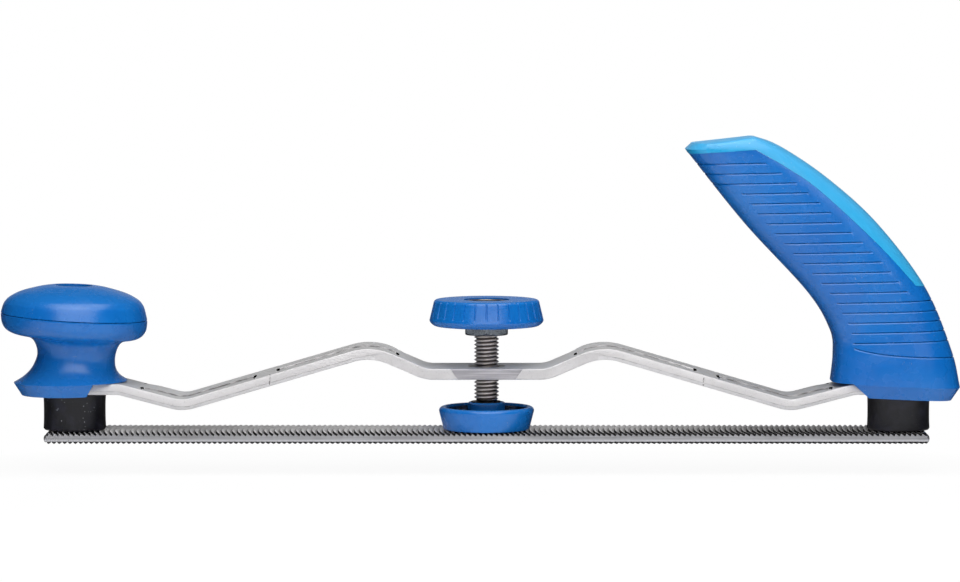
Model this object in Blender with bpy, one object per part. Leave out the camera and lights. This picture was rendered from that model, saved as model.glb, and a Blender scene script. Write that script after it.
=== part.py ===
"""Adjustable body file: a flexible toothed blade under a cast strap with a knob, a spindle and a handle.

Metres, +Z up. X runs along the blade from the knob to the handle, Y across it, and z = 0 is the plane of the
lower tooth tips. Shapes are drawn round the spindle's axis; an empty then centres the whole tool on its box.
"""

import math

import bmesh
import bpy
from mathutils import Matrix, Vector

# Clearances
SEAT = 0.0002
FIT = 0.0003

# Blade
BLADE_LENGTH = 0.350
BLADE_WIDTH = 0.035
BLADE_THICKNESS = 0.0040
BLADE_CORNER = 0.0012
BLADE_END_CROWN = 0.0003
TOOTH_PITCH = 0.0254 / 12
TOOTH_DEPTH = 0.00075
TOOTH_LAND = 0.0003
TOOTH_FACE = 0.0003
TOOTH_ARC_RADIUS = 0.042
TOOTH_STATIONS = 2
HOLE_INSET = 0.0108

# Screws, nominal M6
SCREW_RADIUS = 0.0029
SCREW_TIP = 0.0007
SCREW_HEAD_SINK = 0.0005
SCREW_LAND = 0.0008
SCREW_KEY = 0.0040
SCREW_KEY_DEPTH = 0.0018
SCREW_THREAD_REACH = 0.0090
INSERT_WALL = 0.0020

# Rubber buffers
BUFFER_RADIUS = 0.0125
BUFFER_HEIGHT = 0.0146
BUFFER_WAIST = 0.0004
BUFFER_LIP = 0.0024

# Strap
STRAP_WIDTH = 0.028
STRAP_THICKNESS = 0.0044
STRAP_CHAMFER = 0.0011
STRAP_CHAMFER_HEIGHT = 0.0018
STRAP_TOP_ROUND = 0.0006
STRAP_PAD_REACH = 0.0190
STRAP_PAD_RAMP = 0.0249
STRAP_BEND_DROP = 0.0067
STRAP_PEAK_X = 0.0454
STRAP_PEAK_RISE = 0.0218
STRAP_CENTRE_X = 0.0235
STRAP_CENTRE_DROP = 0.0091
STRAP_BEND_RADIUS = 0.012
STRAP_PEAK_RADIUS = 0.022
STRAP_GROOVE_WIDTH = 0.013
STRAP_GROOVE_DEPTH = 0.0009
STRAP_GROOVE_SLOPE = 0.0012
STRAP_GROOVE_LEAD = 0.0102
STRAP_GROOVE_TAIL = 0.0162
STRAP_GROOVE_BREAK = 0.0091
STRAP_BREAK_TO_BEND = 0.0286

# Spindle, nominal M10 x 1.5
THREAD_RADIUS = 0.0049
THREAD_PITCH = 0.0015
THREAD_DEPTH = 0.00092
THREAD_CREST = 0.00025
THREAD_CHAMFER = 0.0006
SHANK_STEP = 0.0001
BUSH_WALL = 0.0021
NECK_RADIUS = 0.0030
BUTTON_LEDGE = 0.0012
BUTTON_HEIGHT = 0.0024
BUTTON_CHAMFER = 0.0008

# Pressure foot
FOOT_RADIUS = 0.0173
FOOT_RIM_RADIUS = 0.01895
FOOT_HEIGHT = 0.0090
FOOT_WALL = 0.0030
FOOT_FLOOR = 0.0030
FOOT_ROUND = 0.0006
BOSS_WALL = 0.00105
FOOT_INSERT_LENGTH = 0.0042
FOOT_WEB = 0.0015
THRUST_WASHER = 0.0008
RING_LEDGE = 0.00175
RING_THICKNESS = 0.0012
RING_PROUD = 0.0003
RING_MOUTH = 0.0059

# Handwheel and its nuts
NUT_CLEARANCE = 0.0125
NUT_ACROSS = 0.017
NUT_HEIGHT = 0.0058
NUT_CHAMFER = 0.0008
NUT_POCKET = 0.0022
WHEEL_RADIUS = 0.02275
WHEEL_BASE_RADIUS = 0.0210
WHEEL_TOP_RADIUS = 0.0203
WHEEL_HEIGHT = 0.0105
WHEEL_BASE_CHAMFER = 0.0022
WHEEL_TOP_ROUND = 0.0005
WHEEL_FLUTES = 30
WHEEL_FLUTE_DEPTH = 0.0004
WHEEL_FLUTE_ANGLE = math.radians(1.6)
WHEEL_RECESS_RADIUS = 0.00915
WHEEL_RECESS_DEPTH = 0.0031
WHEEL_NUT_HEIGHT = 0.0024

# Knob: heights are above the strap's pad
KNOB_LEAN = 0.058
KNOB_NECK_RADIUS = 0.01545
KNOB_NECK_HEIGHT = 0.0099
KNOB_NECK_RISE = 0.0075
KNOB_BOWL_DEPTH = 0.0082
KNOB_CAP_RISE = 0.0094
KNOB_CROWN_RISE = 0.0034
KNOB_HEAD_RADIUS = 0.0290
KNOB_BROW = 0.0070
KNOB_NOTCH_X = 0.0092
KNOB_NOTCH_LEAN = 0.0036
KNOB_WALL = 0.0030
KNOB_BOSS_WALL = 0.0027
KNOB_RECESS_GAP = 0.0023
KNOB_RECESS_DEPTH = 0.0085
KNOB_WASHER = 0.0008
KNOB_SCREW_HEAD_RADIUS = 0.0050
KNOB_SCREW_HEAD = 0.0056
KNOB_SCREW_KEY_DEPTH = 0.0030
KNOB_SCREW_REACH = 0.0072
KNOB_SCREW_GAP = 0.0018

# Skirt round both ends of the strap
SKIRT_DEPTH = 0.0062
SKIRT_CHAMFER = 0.0031
KNOB_SKIRT_WALL = 0.0052
HANDLE_SKIRT_WALL = 0.0006

# Handle: outline points are from the rear screw's axis and above the strap's pad
HANDLE_FRONT = (
    (-0.0272, -0.0009),
    (-0.0260, 0.0116),
    (-0.0276, 0.0211),
    (-0.0367, 0.0359),
    (-0.0616, 0.0629),
    (-0.0840, 0.0908),
)
HANDLE_TIP = (-0.0854, 0.0924)
HANDLE_BROW = (-0.0826, 0.0950)
HANDLE_CROWN = (-0.0583, 0.0976)
HANDLE_BACK = (
    (0.0238, -0.0009),
    (0.0204, 0.0133),
    (0.0100, 0.0377),
    (-0.0091, 0.0629),
    (-0.0289, 0.0809),
    (-0.0476, 0.0935),
)
HANDLE_GRIP_WIDTH = 0.031
HANDLE_GRIP_HEIGHT = 0.026
HANDLE_TOP_ROUND = 0.0055
HANDLE_SQUARENESS = 2.7
HANDLE_BASE_SLOPE = 0.045
HANDLE_NOTCH_X = -0.0194
HANDLE_NOTCH_LEAN = 0.0068
HANDLE_WALL = 0.0040
HANDLE_ROOF = 0.0176
HANDLE_INSERT_SPARE = 0.0070
HANDLE_INSERT_COVER = 0.0066
INLAY_EDGE = (
    (0.0038, 0.0400),
    (-0.0099, 0.0553),
    (-0.0327, 0.0763),
    (-0.0464, 0.0858),
    (-0.0573, 0.0920),
    (-0.0840, 0.0908),
)
INLAY_END_FALL = 0.37
INLAY_SURPLUS = 0.020

# Facets
ROUND_SIDES = 32
SMALL_SIDES = 20
THREAD_SIDES = 12
HANDLE_SIDES = 24
HANDLE_RINGS = 16
CROWN_LEVELS = (0.4, 0.8)
BLADE_END_STEPS = 8
BLADE_CORNER_DEGREES = (0, 40, 90)
PAD_END_DEGREES = (0, 30, 52, 70)
NECK_STEPS = (0.25, 0.5, 0.75, 1.0)
THROAT_STEPS = (0.5, 0.85, 1.0)
BOWL_STEPS = (0.25, 0.5, 0.75)
CAP_STEPS = (0.3, 0.55, 0.8, 1.0)
SHARP_ANGLE = math.radians(35)

# Widths that follow from the pieces that fit together
HOLE_X = BLADE_LENGTH / 2 - HOLE_INSET
SCREW_HOLE_RADIUS = SCREW_RADIUS + FIT
SCREW_HEAD_DEPTH = BLADE_THICKNESS - SCREW_HEAD_SINK - SCREW_LAND
SCREW_HEAD_RADIUS = SCREW_RADIUS + SCREW_HEAD_DEPTH
INSERT_RADIUS = SCREW_HOLE_RADIUS + INSERT_WALL
SHANK_RADIUS = THREAD_RADIUS + SHANK_STEP
BUTTON_RADIUS = NECK_RADIUS + BUTTON_LEDGE
RING_RADIUS = BUTTON_RADIUS + FIT + RING_LEDGE
BOSS_RADIUS = RING_RADIUS + SEAT + BOSS_WALL
BUSH_RADIUS = THREAD_RADIUS + FIT + BUSH_WALL
KNOB_RECESS_RADIUS = KNOB_SCREW_HEAD_RADIUS + KNOB_RECESS_GAP
KNOB_BOSS_RADIUS = KNOB_RECESS_RADIUS + KNOB_BOSS_WALL
KNOB_FLARE_RADIUS = STRAP_WIDTH / 2 + FIT + KNOB_SKIRT_WALL + SKIRT_CHAMFER
HANDLE_BASE_WIDTH = STRAP_WIDTH + 2 * (FIT + HANDLE_SKIRT_WALL + SKIRT_CHAMFER)

# Heights that follow from the stack of pieces
FOOT_Z = BLADE_THICKNESS + SEAT
PAD_BOTTOM = BLADE_THICKNESS + SEAT + BUFFER_HEIGHT + SEAT
PAD_Z = PAD_BOTTOM + STRAP_THICKNESS
STRAP_Z = PAD_Z - STRAP_BEND_DROP + STRAP_PEAK_RISE - STRAP_CENTRE_DROP
STRAP_UNDERSIDE = STRAP_Z - STRAP_THICKNESS
NUT_Z = STRAP_Z + NUT_CLEARANCE
WHEEL_Z = NUT_Z + NUT_HEIGHT - NUT_POCKET
WHEEL_TOP = WHEEL_Z + WHEEL_HEIGHT
RECESS_FLOOR = WHEEL_TOP - WHEEL_RECESS_DEPTH
SPINDLE_TOP = RECESS_FLOOR + SEAT + WHEEL_NUT_HEIGHT
BUTTON_FLOOR = FOOT_Z + SEAT + FOOT_INSERT_LENGTH + SEAT + FOOT_WEB
BUTTON_Z = BUTTON_FLOOR + SEAT + THRUST_WASHER + SEAT
RING_SEAT = BUTTON_Z + BUTTON_HEIGHT
RING_TOP = RING_SEAT + SEAT + RING_THICKNESS
BOSS_Z = RING_TOP - RING_PROUD
THREAD_Z = RING_TOP + SEAT
KNOB_UNDERSIDE_HEIGHT = KNOB_NECK_HEIGHT + KNOB_NECK_RISE
KNOB_SEAM_HEIGHT = KNOB_UNDERSIDE_HEIGHT + KNOB_BOWL_DEPTH
KNOB_SHOULDER_HEIGHT = KNOB_SEAM_HEIGHT + KNOB_CAP_RISE
KNOB_TOP = KNOB_SHOULDER_HEIGHT + KNOB_CROWN_RISE
KNOB_INSERT_LENGTH = SCREW_THREAD_REACH + KNOB_SCREW_GAP + KNOB_SCREW_REACH
HANDLE_INSERT_LENGTH = SCREW_THREAD_REACH + HANDLE_INSERT_SPARE
HANDLE_FLOOR = HANDLE_INSERT_LENGTH + 2 * SEAT + HANDLE_INSERT_COVER
HANDLE_HOLLOW_TOP = HANDLE_CROWN[1] - HANDLE_ROOF

BLUE = (0.004, 0.110, 0.460, 1.0)
LIGHT_BLUE = (0.130, 0.470, 0.880, 1.0)
RUBBER = (0.012, 0.012, 0.013, 1.0)
ALUMINIUM = (0.560, 0.570, 0.580, 1.0)
BLADE_STEEL = (0.420, 0.430, 0.450, 1.0)
SPINDLE_STEEL = (0.180, 0.160, 0.140, 1.0)
ZINC = (0.480, 0.530, 0.620, 1.0)
BRASS = (0.600, 0.430, 0.180, 1.0)
BLACK_STEEL = (0.020, 0.020, 0.022, 1.0)


def clear_scene():
    """Starts from an empty scene."""
    for old in list(bpy.data.objects):
        bpy.data.objects.remove(old, do_unlink=True)


def finish(name, colour, roughness, metallic):
    """A Principled material."""
    material = bpy.data.materials.new(name)
    material.use_nodes = True
    shader = material.node_tree.nodes["Principled BSDF"]
    shader.inputs["Base Color"].default_value = colour
    shader.inputs["Roughness"].default_value = roughness
    shader.inputs["Metallic"].default_value = metallic
    return material


def add_empty(name, parent=None, x=0.0):
    """A plain handle for parenting."""
    empty = bpy.data.objects.new(name, None)
    bpy.context.collection.objects.link(empty)
    empty.parent = parent
    empty.location.x = x
    return empty


def add_piece(name, mesh, parent, material=None):
    """Turns a bmesh into an object with its faces pointing out."""
    bmesh.ops.recalc_face_normals(mesh, faces=mesh.faces)
    data = bpy.data.meshes.new(name)
    mesh.to_mesh(data)
    mesh.free()
    data.shade_smooth()
    data.set_sharp_from_angle(angle=SHARP_ANGLE)
    piece = bpy.data.objects.new(name, data)
    bpy.context.collection.objects.link(piece)
    piece.parent = parent
    if material:
        data.materials.append(material)
    return piece


def change(piece, mesh, operation="DIFFERENCE"):
    """Cuts, joins or trims a piece with a hidden shape that shares its parent."""
    tool = add_piece(f"{piece.name}_{operation.lower()}_{len(piece.modifiers)}", mesh, piece.parent)
    tool.hide_render = True
    tool.display_type = "WIRE"
    step = piece.modifiers.new(tool.name, "BOOLEAN")
    step.operation = operation
    step.solver = "EXACT"
    step.object = tool


def loft(rings, closed=False):
    """Skins equal rings of points; the ends are capped unless the last ring meets the first."""
    mesh = bmesh.new()
    loops = [[mesh.verts.new(point) for point in ring] for ring in rings]
    pairs = list(zip(loops, loops[1:]))
    if closed:
        pairs.append((loops[-1], loops[0]))
    else:
        mesh.faces.new(loops[0])
        mesh.faces.new(loops[-1])
    for low, high in pairs:
        for here in range(len(low)):
            after = (here + 1) % len(low)
            mesh.faces.new((low[here], low[after], high[after], high[here]))
    return mesh


def circle(radius, z, sides, x=0.0, lean=0.0, phase=0.0):
    """A ring of points about the vertical axis at x; lean is its fall per metre of +X."""
    points = []
    for side in range(sides):
        angle = 2 * math.pi * (side + phase) / sides
        run = radius * math.cos(angle)
        points.append(Vector((x + run, radius * math.sin(angle), z - lean * run)))
    return points


def turned(profile, sides=ROUND_SIDES, x=0.0, hollow=False, phase=0.0):
    """A turned solid from (radius, z) points; a hollow one has a closed profile round a bore."""
    return loft([circle(radius, z, sides, x, phase=phase) for radius, z in profile], closed=hollow)


def tube(inner, outer, bottom, top, sides=SMALL_SIDES, x=0.0):
    """A plain sleeve."""
    profile = ((inner, bottom), (outer, bottom), (outer, top), (inner, top))
    return turned(profile, sides, x, hollow=True)


def rod(radius, bottom, top, sides=SMALL_SIDES, x=0.0):
    """A plain cylinder, turned half a facet so that it never shares an edge line with what it cuts."""
    return turned(((radius, bottom), (radius, top)), sides, x, phase=0.5)


def hexagon(across, bottom, top, x=0.0, turn=0.0):
    """A hexagonal prism."""
    radius = across / math.sqrt(3)
    mesh = loft([circle(radius, bottom, 6), circle(radius, top, 6)])
    place = Matrix.Translation((x, 0, 0)) @ Matrix.Rotation(turn, 4, "Z")
    bmesh.ops.transform(mesh, matrix=place, verts=mesh.verts)
    return mesh


def slab(outline, half_width):
    """A side outline of (x, z) points pulled out across Y."""
    return loft([[Vector((x, y, z)) for x, z in outline] for y in (-half_width, half_width)])


def spline(points, steps=8):
    """A smooth curve through points, with its ends repeated."""
    padded = [points[0], *points, points[-1]]
    curve = []
    for first, second, third, fourth in zip(padded, padded[1:], padded[2:], padded[3:]):
        a, b, c, d = (Vector(point) for point in (first, second, third, fourth))
        for step in range(steps):
            t = step / steps
            curve.append(
                0.5 * (2 * b + (c - a) * t + (2 * a - 5 * b + 4 * c - d) * t**2 + (3 * b - a - 3 * c + d) * t**3)
            )
    curve.append(Vector(points[-1]))
    return curve


def across(curve, z):
    """The x of a rising curve of (x, z) points at height z."""
    for low, high in zip(curve, curve[1:]):
        if z <= high.y:
            break
    share = (z - low.y) / (high.y - low.y)
    return low.x + share * (high.x - low.x)


def ease(share):
    """Smooth step from 0 to 1."""
    share = min(max(share, 0.0), 1.0)
    return share * share * (3 - 2 * share)


def tooth_row(face_z, inward, land, count):
    """Points along one toothed face at the blade's middle: gullet, cutting edge and any worn land."""
    row = []
    for tooth in range(-count, count):
        x = tooth * TOOTH_PITCH
        row.append((x, face_z + inward * TOOTH_DEPTH))
        row.append((x + TOOTH_FACE, face_z))
        if land:
            row.append((x + TOOTH_FACE + land, face_z))
    return row


def blade_stock():
    """A strip longer and wider than the blade, milled with curved teeth on both faces."""
    half = BLADE_WIDTH / 2 + BLADE_CORNER
    bow = TOOTH_ARC_RADIUS - math.sqrt(TOOTH_ARC_RADIUS**2 - half**2)
    count = math.ceil((BLADE_LENGTH / 2 + bow) / TOOTH_PITCH) + 1
    lower = tooth_row(0.0, 1, TOOTH_LAND, count)
    upper = tooth_row(BLADE_THICKNESS, -1, 0.0, count)
    outline = lower + upper[::-1]
    rings = []
    for station in range(TOOTH_STATIONS + 1):
        y = half * (2 * station / TOOTH_STATIONS - 1)
        shift = TOOTH_ARC_RADIUS - math.sqrt(TOOTH_ARC_RADIUS**2 - y**2)
        rings.append([Vector((x + shift, y, z)) for x, z in outline])
    return loft(rings)


def blade_outline():
    """The blade's plan with eased corners and rounded ends, a little taller than the teeth."""
    half_height = BLADE_THICKNESS / 2 + BLADE_END_CROWN
    corner = []
    for degrees in BLADE_CORNER_DEGREES:
        swing = math.radians(degrees)
        inset = BLADE_CORNER * (1 - math.sin(swing))
        corner.append((BLADE_WIDTH / 2 - BLADE_CORNER * (1 - math.cos(swing)), inset))
    rings = []
    for y, inset in [*((-y, inset) for y, inset in corner), *reversed(corner)]:
        reach = BLADE_LENGTH / 2 - inset - half_height
        ring = []
        for end, start in ((1, -math.pi / 2), (-1, math.pi / 2)):
            for step in range(BLADE_END_STEPS + 1):
                angle = start + math.pi * step / BLADE_END_STEPS
                x = end * reach + half_height * math.cos(angle)
                ring.append(Vector((x, y, BLADE_THICKNESS / 2 + half_height * math.sin(angle))))
        rings.append(ring)
    return loft(rings)


def countersink(x, clearance):
    """The space of a countersunk head and its shank from below, widened by a clearance."""
    head = SCREW_HEAD_RADIUS + clearance
    shank = SCREW_RADIUS + clearance
    profile = (
        (head, -BLADE_THICKNESS),
        (head, SCREW_HEAD_SINK),
        (shank, SCREW_HEAD_SINK + SCREW_HEAD_DEPTH),
        (shank, 2 * BLADE_THICKNESS),
    )
    return turned(profile, SMALL_SIDES, x)


def build_blade(parent, steel):
    """The flexible blade, with a countersunk hole at each end and one in the middle."""
    blade = add_piece("file_blade", blade_stock(), parent, steel)
    change(blade, blade_outline(), "INTERSECT")
    for x in (-HOLE_X, 0.0, HOLE_X):
        change(blade, countersink(x, FIT))


def build_screw(name, top, parent, x, steel):
    """A countersunk screw with a hexagon socket, its head sunk in the blade's underside."""
    profile = (
        (SCREW_HEAD_RADIUS, SCREW_HEAD_SINK),
        (SCREW_RADIUS, SCREW_HEAD_SINK + SCREW_HEAD_DEPTH),
        (SCREW_RADIUS, top - SCREW_TIP),
        (SCREW_RADIUS - SCREW_TIP, top),
    )
    screw = add_piece(name, turned(profile, SMALL_SIDES, x), parent, steel)
    change(screw, hexagon(SCREW_KEY, -SCREW_KEY_DEPTH, SCREW_HEAD_SINK + SCREW_KEY_DEPTH, x))


def build_buffer(name, parent, x, rubber):
    """A rubber buffer with a slight waist and a hole for the screw."""
    bottom = BLADE_THICKNESS + SEAT
    top = bottom + BUFFER_HEIGHT
    waist = BUFFER_RADIUS - BUFFER_WAIST
    profile = (
        (SCREW_HOLE_RADIUS, bottom),
        (BUFFER_RADIUS, bottom),
        (waist, bottom + BUFFER_LIP),
        (waist, top - BUFFER_LIP),
        (BUFFER_RADIUS, top),
        (SCREW_HOLE_RADIUS, top),
    )
    add_piece(name, turned(profile, ROUND_SIDES, x, hollow=True), parent, rubber)


def strap_corners():
    """Corner points of the strap's top line on the +X side, from the middle outward, with their radii."""
    pad_x = HOLE_X - STRAP_PAD_REACH
    return (
        ((STRAP_CENTRE_X, STRAP_Z), STRAP_BEND_RADIUS),
        ((STRAP_PEAK_X, STRAP_Z + STRAP_CENTRE_DROP), STRAP_PEAK_RADIUS),
        ((pad_x - STRAP_PAD_RAMP, PAD_Z - STRAP_BEND_DROP), STRAP_BEND_RADIUS),
        ((pad_x, PAD_Z), STRAP_BEND_RADIUS),
    )


def strap_grooves():
    """Start and end of both grooves on the +X side: one over the peak, one over the bend."""
    bend_x = HOLE_X - STRAP_PAD_REACH - STRAP_PAD_RAMP
    break_end = bend_x - STRAP_BREAK_TO_BEND
    return (
        (STRAP_PEAK_X - STRAP_GROOVE_LEAD, break_end - STRAP_GROOVE_BREAK),
        (break_end, bend_x + STRAP_GROOVE_TAIL),
    )


def bend(before, corner, after, radius, steps=3):
    """Points round a filleted corner, each with the direction of the path there."""
    corner = Vector(corner)
    arriving = (corner - Vector(before)).normalized()
    leaving = (Vector(after) - corner).normalized()
    turn = arriving.angle_signed(leaving)
    back = abs(radius * math.tan(turn / 2))
    start = corner - back * arriving
    points = []
    for step in range(steps + 1):
        swept = turn * step / steps
        along = Matrix.Rotation(-swept, 2) @ arriving
        chord = 2 * radius * math.sin(abs(swept) / 2)
        toward = Matrix.Rotation(-swept / 2, 2) @ arriving
        points.append((start + chord * toward, along))
    return points


def strap_line():
    """Half of the strap's top line as (point, direction), from the first bend to the last."""
    corners = strap_corners()
    ends = [(0.0, STRAP_Z), *(point for point, _ in corners), (HOLE_X, PAD_Z)]
    line = []
    for index, (point, radius) in enumerate(corners):
        line.extend(bend(ends[index], point, ends[index + 2], radius))
    return line


def with_grooves(line):
    """Adds a station at both ends of each groove, and says how deep the groove is at every station."""
    grooves = strap_grooves()
    marks = []
    for start, end in grooves:
        marks.extend((start, start + STRAP_GROOVE_SLOPE, end - STRAP_GROOVE_SLOPE, end))
    for mark in marks:
        for index, (low, high) in enumerate(zip(line, line[1:])):
            if low[0].x < mark < high[0].x:
                share = (mark - low[0].x) / (high[0].x - low[0].x)
                line.insert(index + 1, (low[0].lerp(high[0], share), low[1].lerp(high[1], share).normalized()))
                break
    stations = []
    for point, along in line:
        depth = 0.0
        for start, end in grooves:
            inside = min(point.x - start, end - point.x) / STRAP_GROOVE_SLOPE
            depth = max(depth, STRAP_GROOVE_DEPTH * min(max(inside, 0.0), 1.0))
        stations.append((point, along, depth, STRAP_WIDTH / 2))
    return stations


def strap_stations():
    """Stations of the +X half: the bent run, then the pad with its round end."""
    stations = with_grooves(strap_line())
    for degrees in PAD_END_DEGREES:
        angle = math.radians(degrees)
        half = STRAP_WIDTH / 2
        point = Vector((HOLE_X + half * math.sin(angle), PAD_Z))
        stations.append((point, Vector((1.0, 0.0)), 0.0, half * math.cos(angle)))
    return stations


def strap_section(point, along, groove, half):
    """One section of the strap: rounded top edges, a groove on top and chamfered lower edges."""
    down = Vector((along.y, -along.x))
    share = half / (STRAP_WIDTH / 2)
    flank = STRAP_GROOVE_WIDTH / 2 * share
    right = (
        (flank - STRAP_GROOVE_DEPTH * share, groove),
        (flank, 0.0),
        (half - STRAP_TOP_ROUND * share, 0.0),
        (half - STRAP_TOP_ROUND * share / 4, STRAP_TOP_ROUND),
        (half, STRAP_THICKNESS - STRAP_CHAMFER_HEIGHT),
        (half - STRAP_CHAMFER * share, STRAP_THICKNESS),
    )
    ring = []
    for y, depth in [*right, *((-y, depth) for y, depth in reversed(right))]:
        place = point + depth * down
        ring.append(Vector((place.x, y, place.y)))
    return ring


def build_strap(parent, aluminium):
    """The cast strap, the same on both sides of the spindle."""
    half = strap_stations()
    other = []
    for point, along, groove, width in reversed(half):
        other.append((Vector((-point.x, point.y)), Vector((along.x, -along.y)), groove, width))
    rings = [strap_section(*station) for station in [*other, *half]]
    strap = add_piece("frame_strap", loft(rings), parent, aluminium)
    change(strap, rod(BUSH_RADIUS + SEAT, 0.0, 2 * STRAP_Z, ROUND_SIDES))
    for x in (-HOLE_X, HOLE_X):
        change(strap, rod(SCREW_HOLE_RADIUS, 0.0, 2 * PAD_Z, SMALL_SIDES, x))


def thread(radius, bottom, turns):
    """A right-hand thread as one helical strip with a point at each end on the axis."""
    root = radius - THREAD_DEPTH
    flank = (THREAD_PITCH - THREAD_CREST) / 2
    profile = ((root, 0.0), (radius, flank), (radius, flank + THREAD_CREST))
    mesh = bmesh.new()
    last = turns * THREAD_SIDES
    rows = []
    for step in range(last + 1):
        angle = 2 * math.pi * step / THREAD_SIDES
        rise = bottom + THREAD_PITCH * step / THREAD_SIDES
        rows.append([mesh.verts.new((r * math.cos(angle), r * math.sin(angle), rise + z)) for r, z in profile])
    for step in range(last):
        here, after = rows[step], rows[step + 1]
        mesh.faces.new((here[0], after[0], after[1], here[1]))
        mesh.faces.new((here[1], after[1], after[2], here[2]))
        if step + 1 + THREAD_SIDES <= last:
            mesh.faces.new((here[2], after[2], rows[step + 1 + THREAD_SIDES][0], rows[step + THREAD_SIDES][0]))
    low = [row[0] for row in rows[: THREAD_SIDES + 1]] + [rows[0][2], rows[0][1]]
    high = [row[2] for row in rows[last - THREAD_SIDES :]] + [rows[last][1], rows[last][0]]
    for loop, z in ((low, bottom - THREAD_PITCH), (high, bottom + (turns + 2) * THREAD_PITCH)):
        tip = mesh.verts.new((0, 0, z))
        for first, second in zip(loop, loop[1:] + loop[:1]):
            mesh.faces.new((first, second, tip))
    return mesh


def thread_turns(length):
    """Turns that cover a length with one to spare at each end."""
    return math.ceil(length / THREAD_PITCH) + 2


def build_spindle(parent, steel):
    """The threaded spindle, with a neck and a button at its foot."""
    start = THREAD_Z - THREAD_PITCH
    shank = NUT_Z + 2 * THREAD_PITCH
    spindle = add_piece("spindle", thread(THREAD_RADIUS, start, thread_turns(shank - start)), parent, steel)
    full = THREAD_RADIUS + FIT
    core = THREAD_RADIUS - THREAD_DEPTH
    slope = full - core + THREAD_CHAMFER
    limits = ((core - THREAD_CHAMFER, THREAD_Z), (full, THREAD_Z + slope), (full, shank))
    change(spindle, turned(limits, ROUND_SIDES), "INTERSECT")
    head = (
        (core - THREAD_CHAMFER, shank - THREAD_PITCH),
        (SHANK_RADIUS, shank - FIT),
        (SHANK_RADIUS, SPINDLE_TOP - THREAD_CHAMFER),
        (SHANK_RADIUS - THREAD_CHAMFER, SPINDLE_TOP),
    )
    change(spindle, turned(head, SMALL_SIDES), "UNION")
    tail = (
        (BUTTON_RADIUS - BUTTON_CHAMFER, BUTTON_Z),
        (BUTTON_RADIUS, BUTTON_Z + BUTTON_CHAMFER),
        (BUTTON_RADIUS, BUTTON_Z + BUTTON_HEIGHT),
        (NECK_RADIUS, BUTTON_Z + BUTTON_HEIGHT),
        (NECK_RADIUS, THREAD_Z + slope),
    )
    change(spindle, turned(tail, SMALL_SIDES), "UNION")


def build_bush(parent, steel):
    """The threaded bush in the strap; its thread is in step with the spindle's."""
    profile = (
        (NECK_RADIUS, STRAP_UNDERSIDE),
        (BUSH_RADIUS, STRAP_UNDERSIDE),
        (BUSH_RADIUS, STRAP_Z),
        (NECK_RADIUS, STRAP_Z),
    )
    bush = add_piece("spindle_bush", turned(profile, ROUND_SIDES, hollow=True), parent, steel)
    whole = math.floor((STRAP_UNDERSIDE - THREAD_Z) / THREAD_PITCH) - 1
    start = THREAD_Z + (whole - 1) * THREAD_PITCH
    change(bush, thread(THREAD_RADIUS + FIT, start, thread_turns(STRAP_THICKNESS) + 2))


def build_foot(parent, blue):
    """The cup that sits on the blade, with a boss for the spindle's button and the insert."""
    insert_hole = FOOT_Z + SEAT + FOOT_INSERT_LENGTH + SEAT
    rim = FOOT_Z + FOOT_HEIGHT
    floor = FOOT_Z + FOOT_FLOOR
    inner = FOOT_RIM_RADIUS - FOOT_WALL
    profile = (
        (INSERT_RADIUS + SEAT, insert_hole),
        (INSERT_RADIUS + SEAT, FOOT_Z),
        (FOOT_RADIUS - FOOT_ROUND, FOOT_Z),
        (FOOT_RADIUS, FOOT_Z + FOOT_ROUND),
        (FOOT_RIM_RADIUS, rim - 2 * FOOT_ROUND),
        (FOOT_RIM_RADIUS - FOOT_ROUND / 3, rim - FOOT_ROUND / 2),
        (FOOT_RIM_RADIUS - FOOT_ROUND * 1.5, rim),
        (inner + FOOT_ROUND, rim),
        (inner, rim - FOOT_ROUND),
        (FOOT_RADIUS - FOOT_WALL, floor),
        (BOSS_RADIUS, floor),
        (BOSS_RADIUS, BOSS_Z - FOOT_ROUND / 2),
        (BOSS_RADIUS - FOOT_ROUND / 2, BOSS_Z),
        (RING_RADIUS + SEAT, BOSS_Z),
        (RING_RADIUS + SEAT, RING_SEAT),
        (BUTTON_RADIUS + FIT, RING_SEAT),
        (BUTTON_RADIUS + FIT, BUTTON_FLOOR),
    )
    add_piece("pressure_foot", turned(profile, ROUND_SIDES), parent, blue)


def build_foot_fittings(parent, brass, steel, black):
    """What the foot holds: insert, washer and the open ring that traps the button."""
    top = FOOT_Z + SEAT + FOOT_INSERT_LENGTH
    insert = tube(SCREW_HOLE_RADIUS, INSERT_RADIUS, FOOT_Z + SEAT, top)
    add_piece("foot_insert", insert, parent, brass)
    washer_z = BUTTON_FLOOR + SEAT
    add_piece("thrust_washer", rod(BUTTON_RADIUS, washer_z, washer_z + THRUST_WASHER), parent, steel)
    ring = tube(NECK_RADIUS + FIT, RING_RADIUS, RING_SEAT + SEAT, RING_TOP, ROUND_SIDES)
    retainer = add_piece("retaining_ring", ring, parent, black)
    far = 2 * RING_RADIUS
    above = RING_TOP + SEAT
    mouth = ((0.0, RING_SEAT), (far, RING_SEAT), (far, above), (0.0, above))
    change(retainer, slab(mouth, RING_MOUTH / 2))
    build_screw("foot_screw", top - SEAT, parent, 0.0, black)


def build_nut(parent, zinc):
    """The hexagon lock nut under the wheel, chamfered at both faces, a corner toward -Y."""
    top = NUT_Z + NUT_HEIGHT
    nut = add_piece("lock_nut", hexagon(NUT_ACROSS, NUT_Z, top, turn=math.pi / 6), parent, zinc)
    corner = NUT_ACROSS / math.sqrt(3)
    barrel = (
        (NUT_ACROSS / 2, NUT_Z),
        (corner + FIT, NUT_Z + NUT_CHAMFER),
        (corner + FIT, top - NUT_CHAMFER),
        (NUT_ACROSS / 2, top),
    )
    change(nut, turned(barrel, SMALL_SIDES), "INTERSECT")
    change(nut, rod(SHANK_RADIUS + FIT, 0.0, 2 * top))


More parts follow.
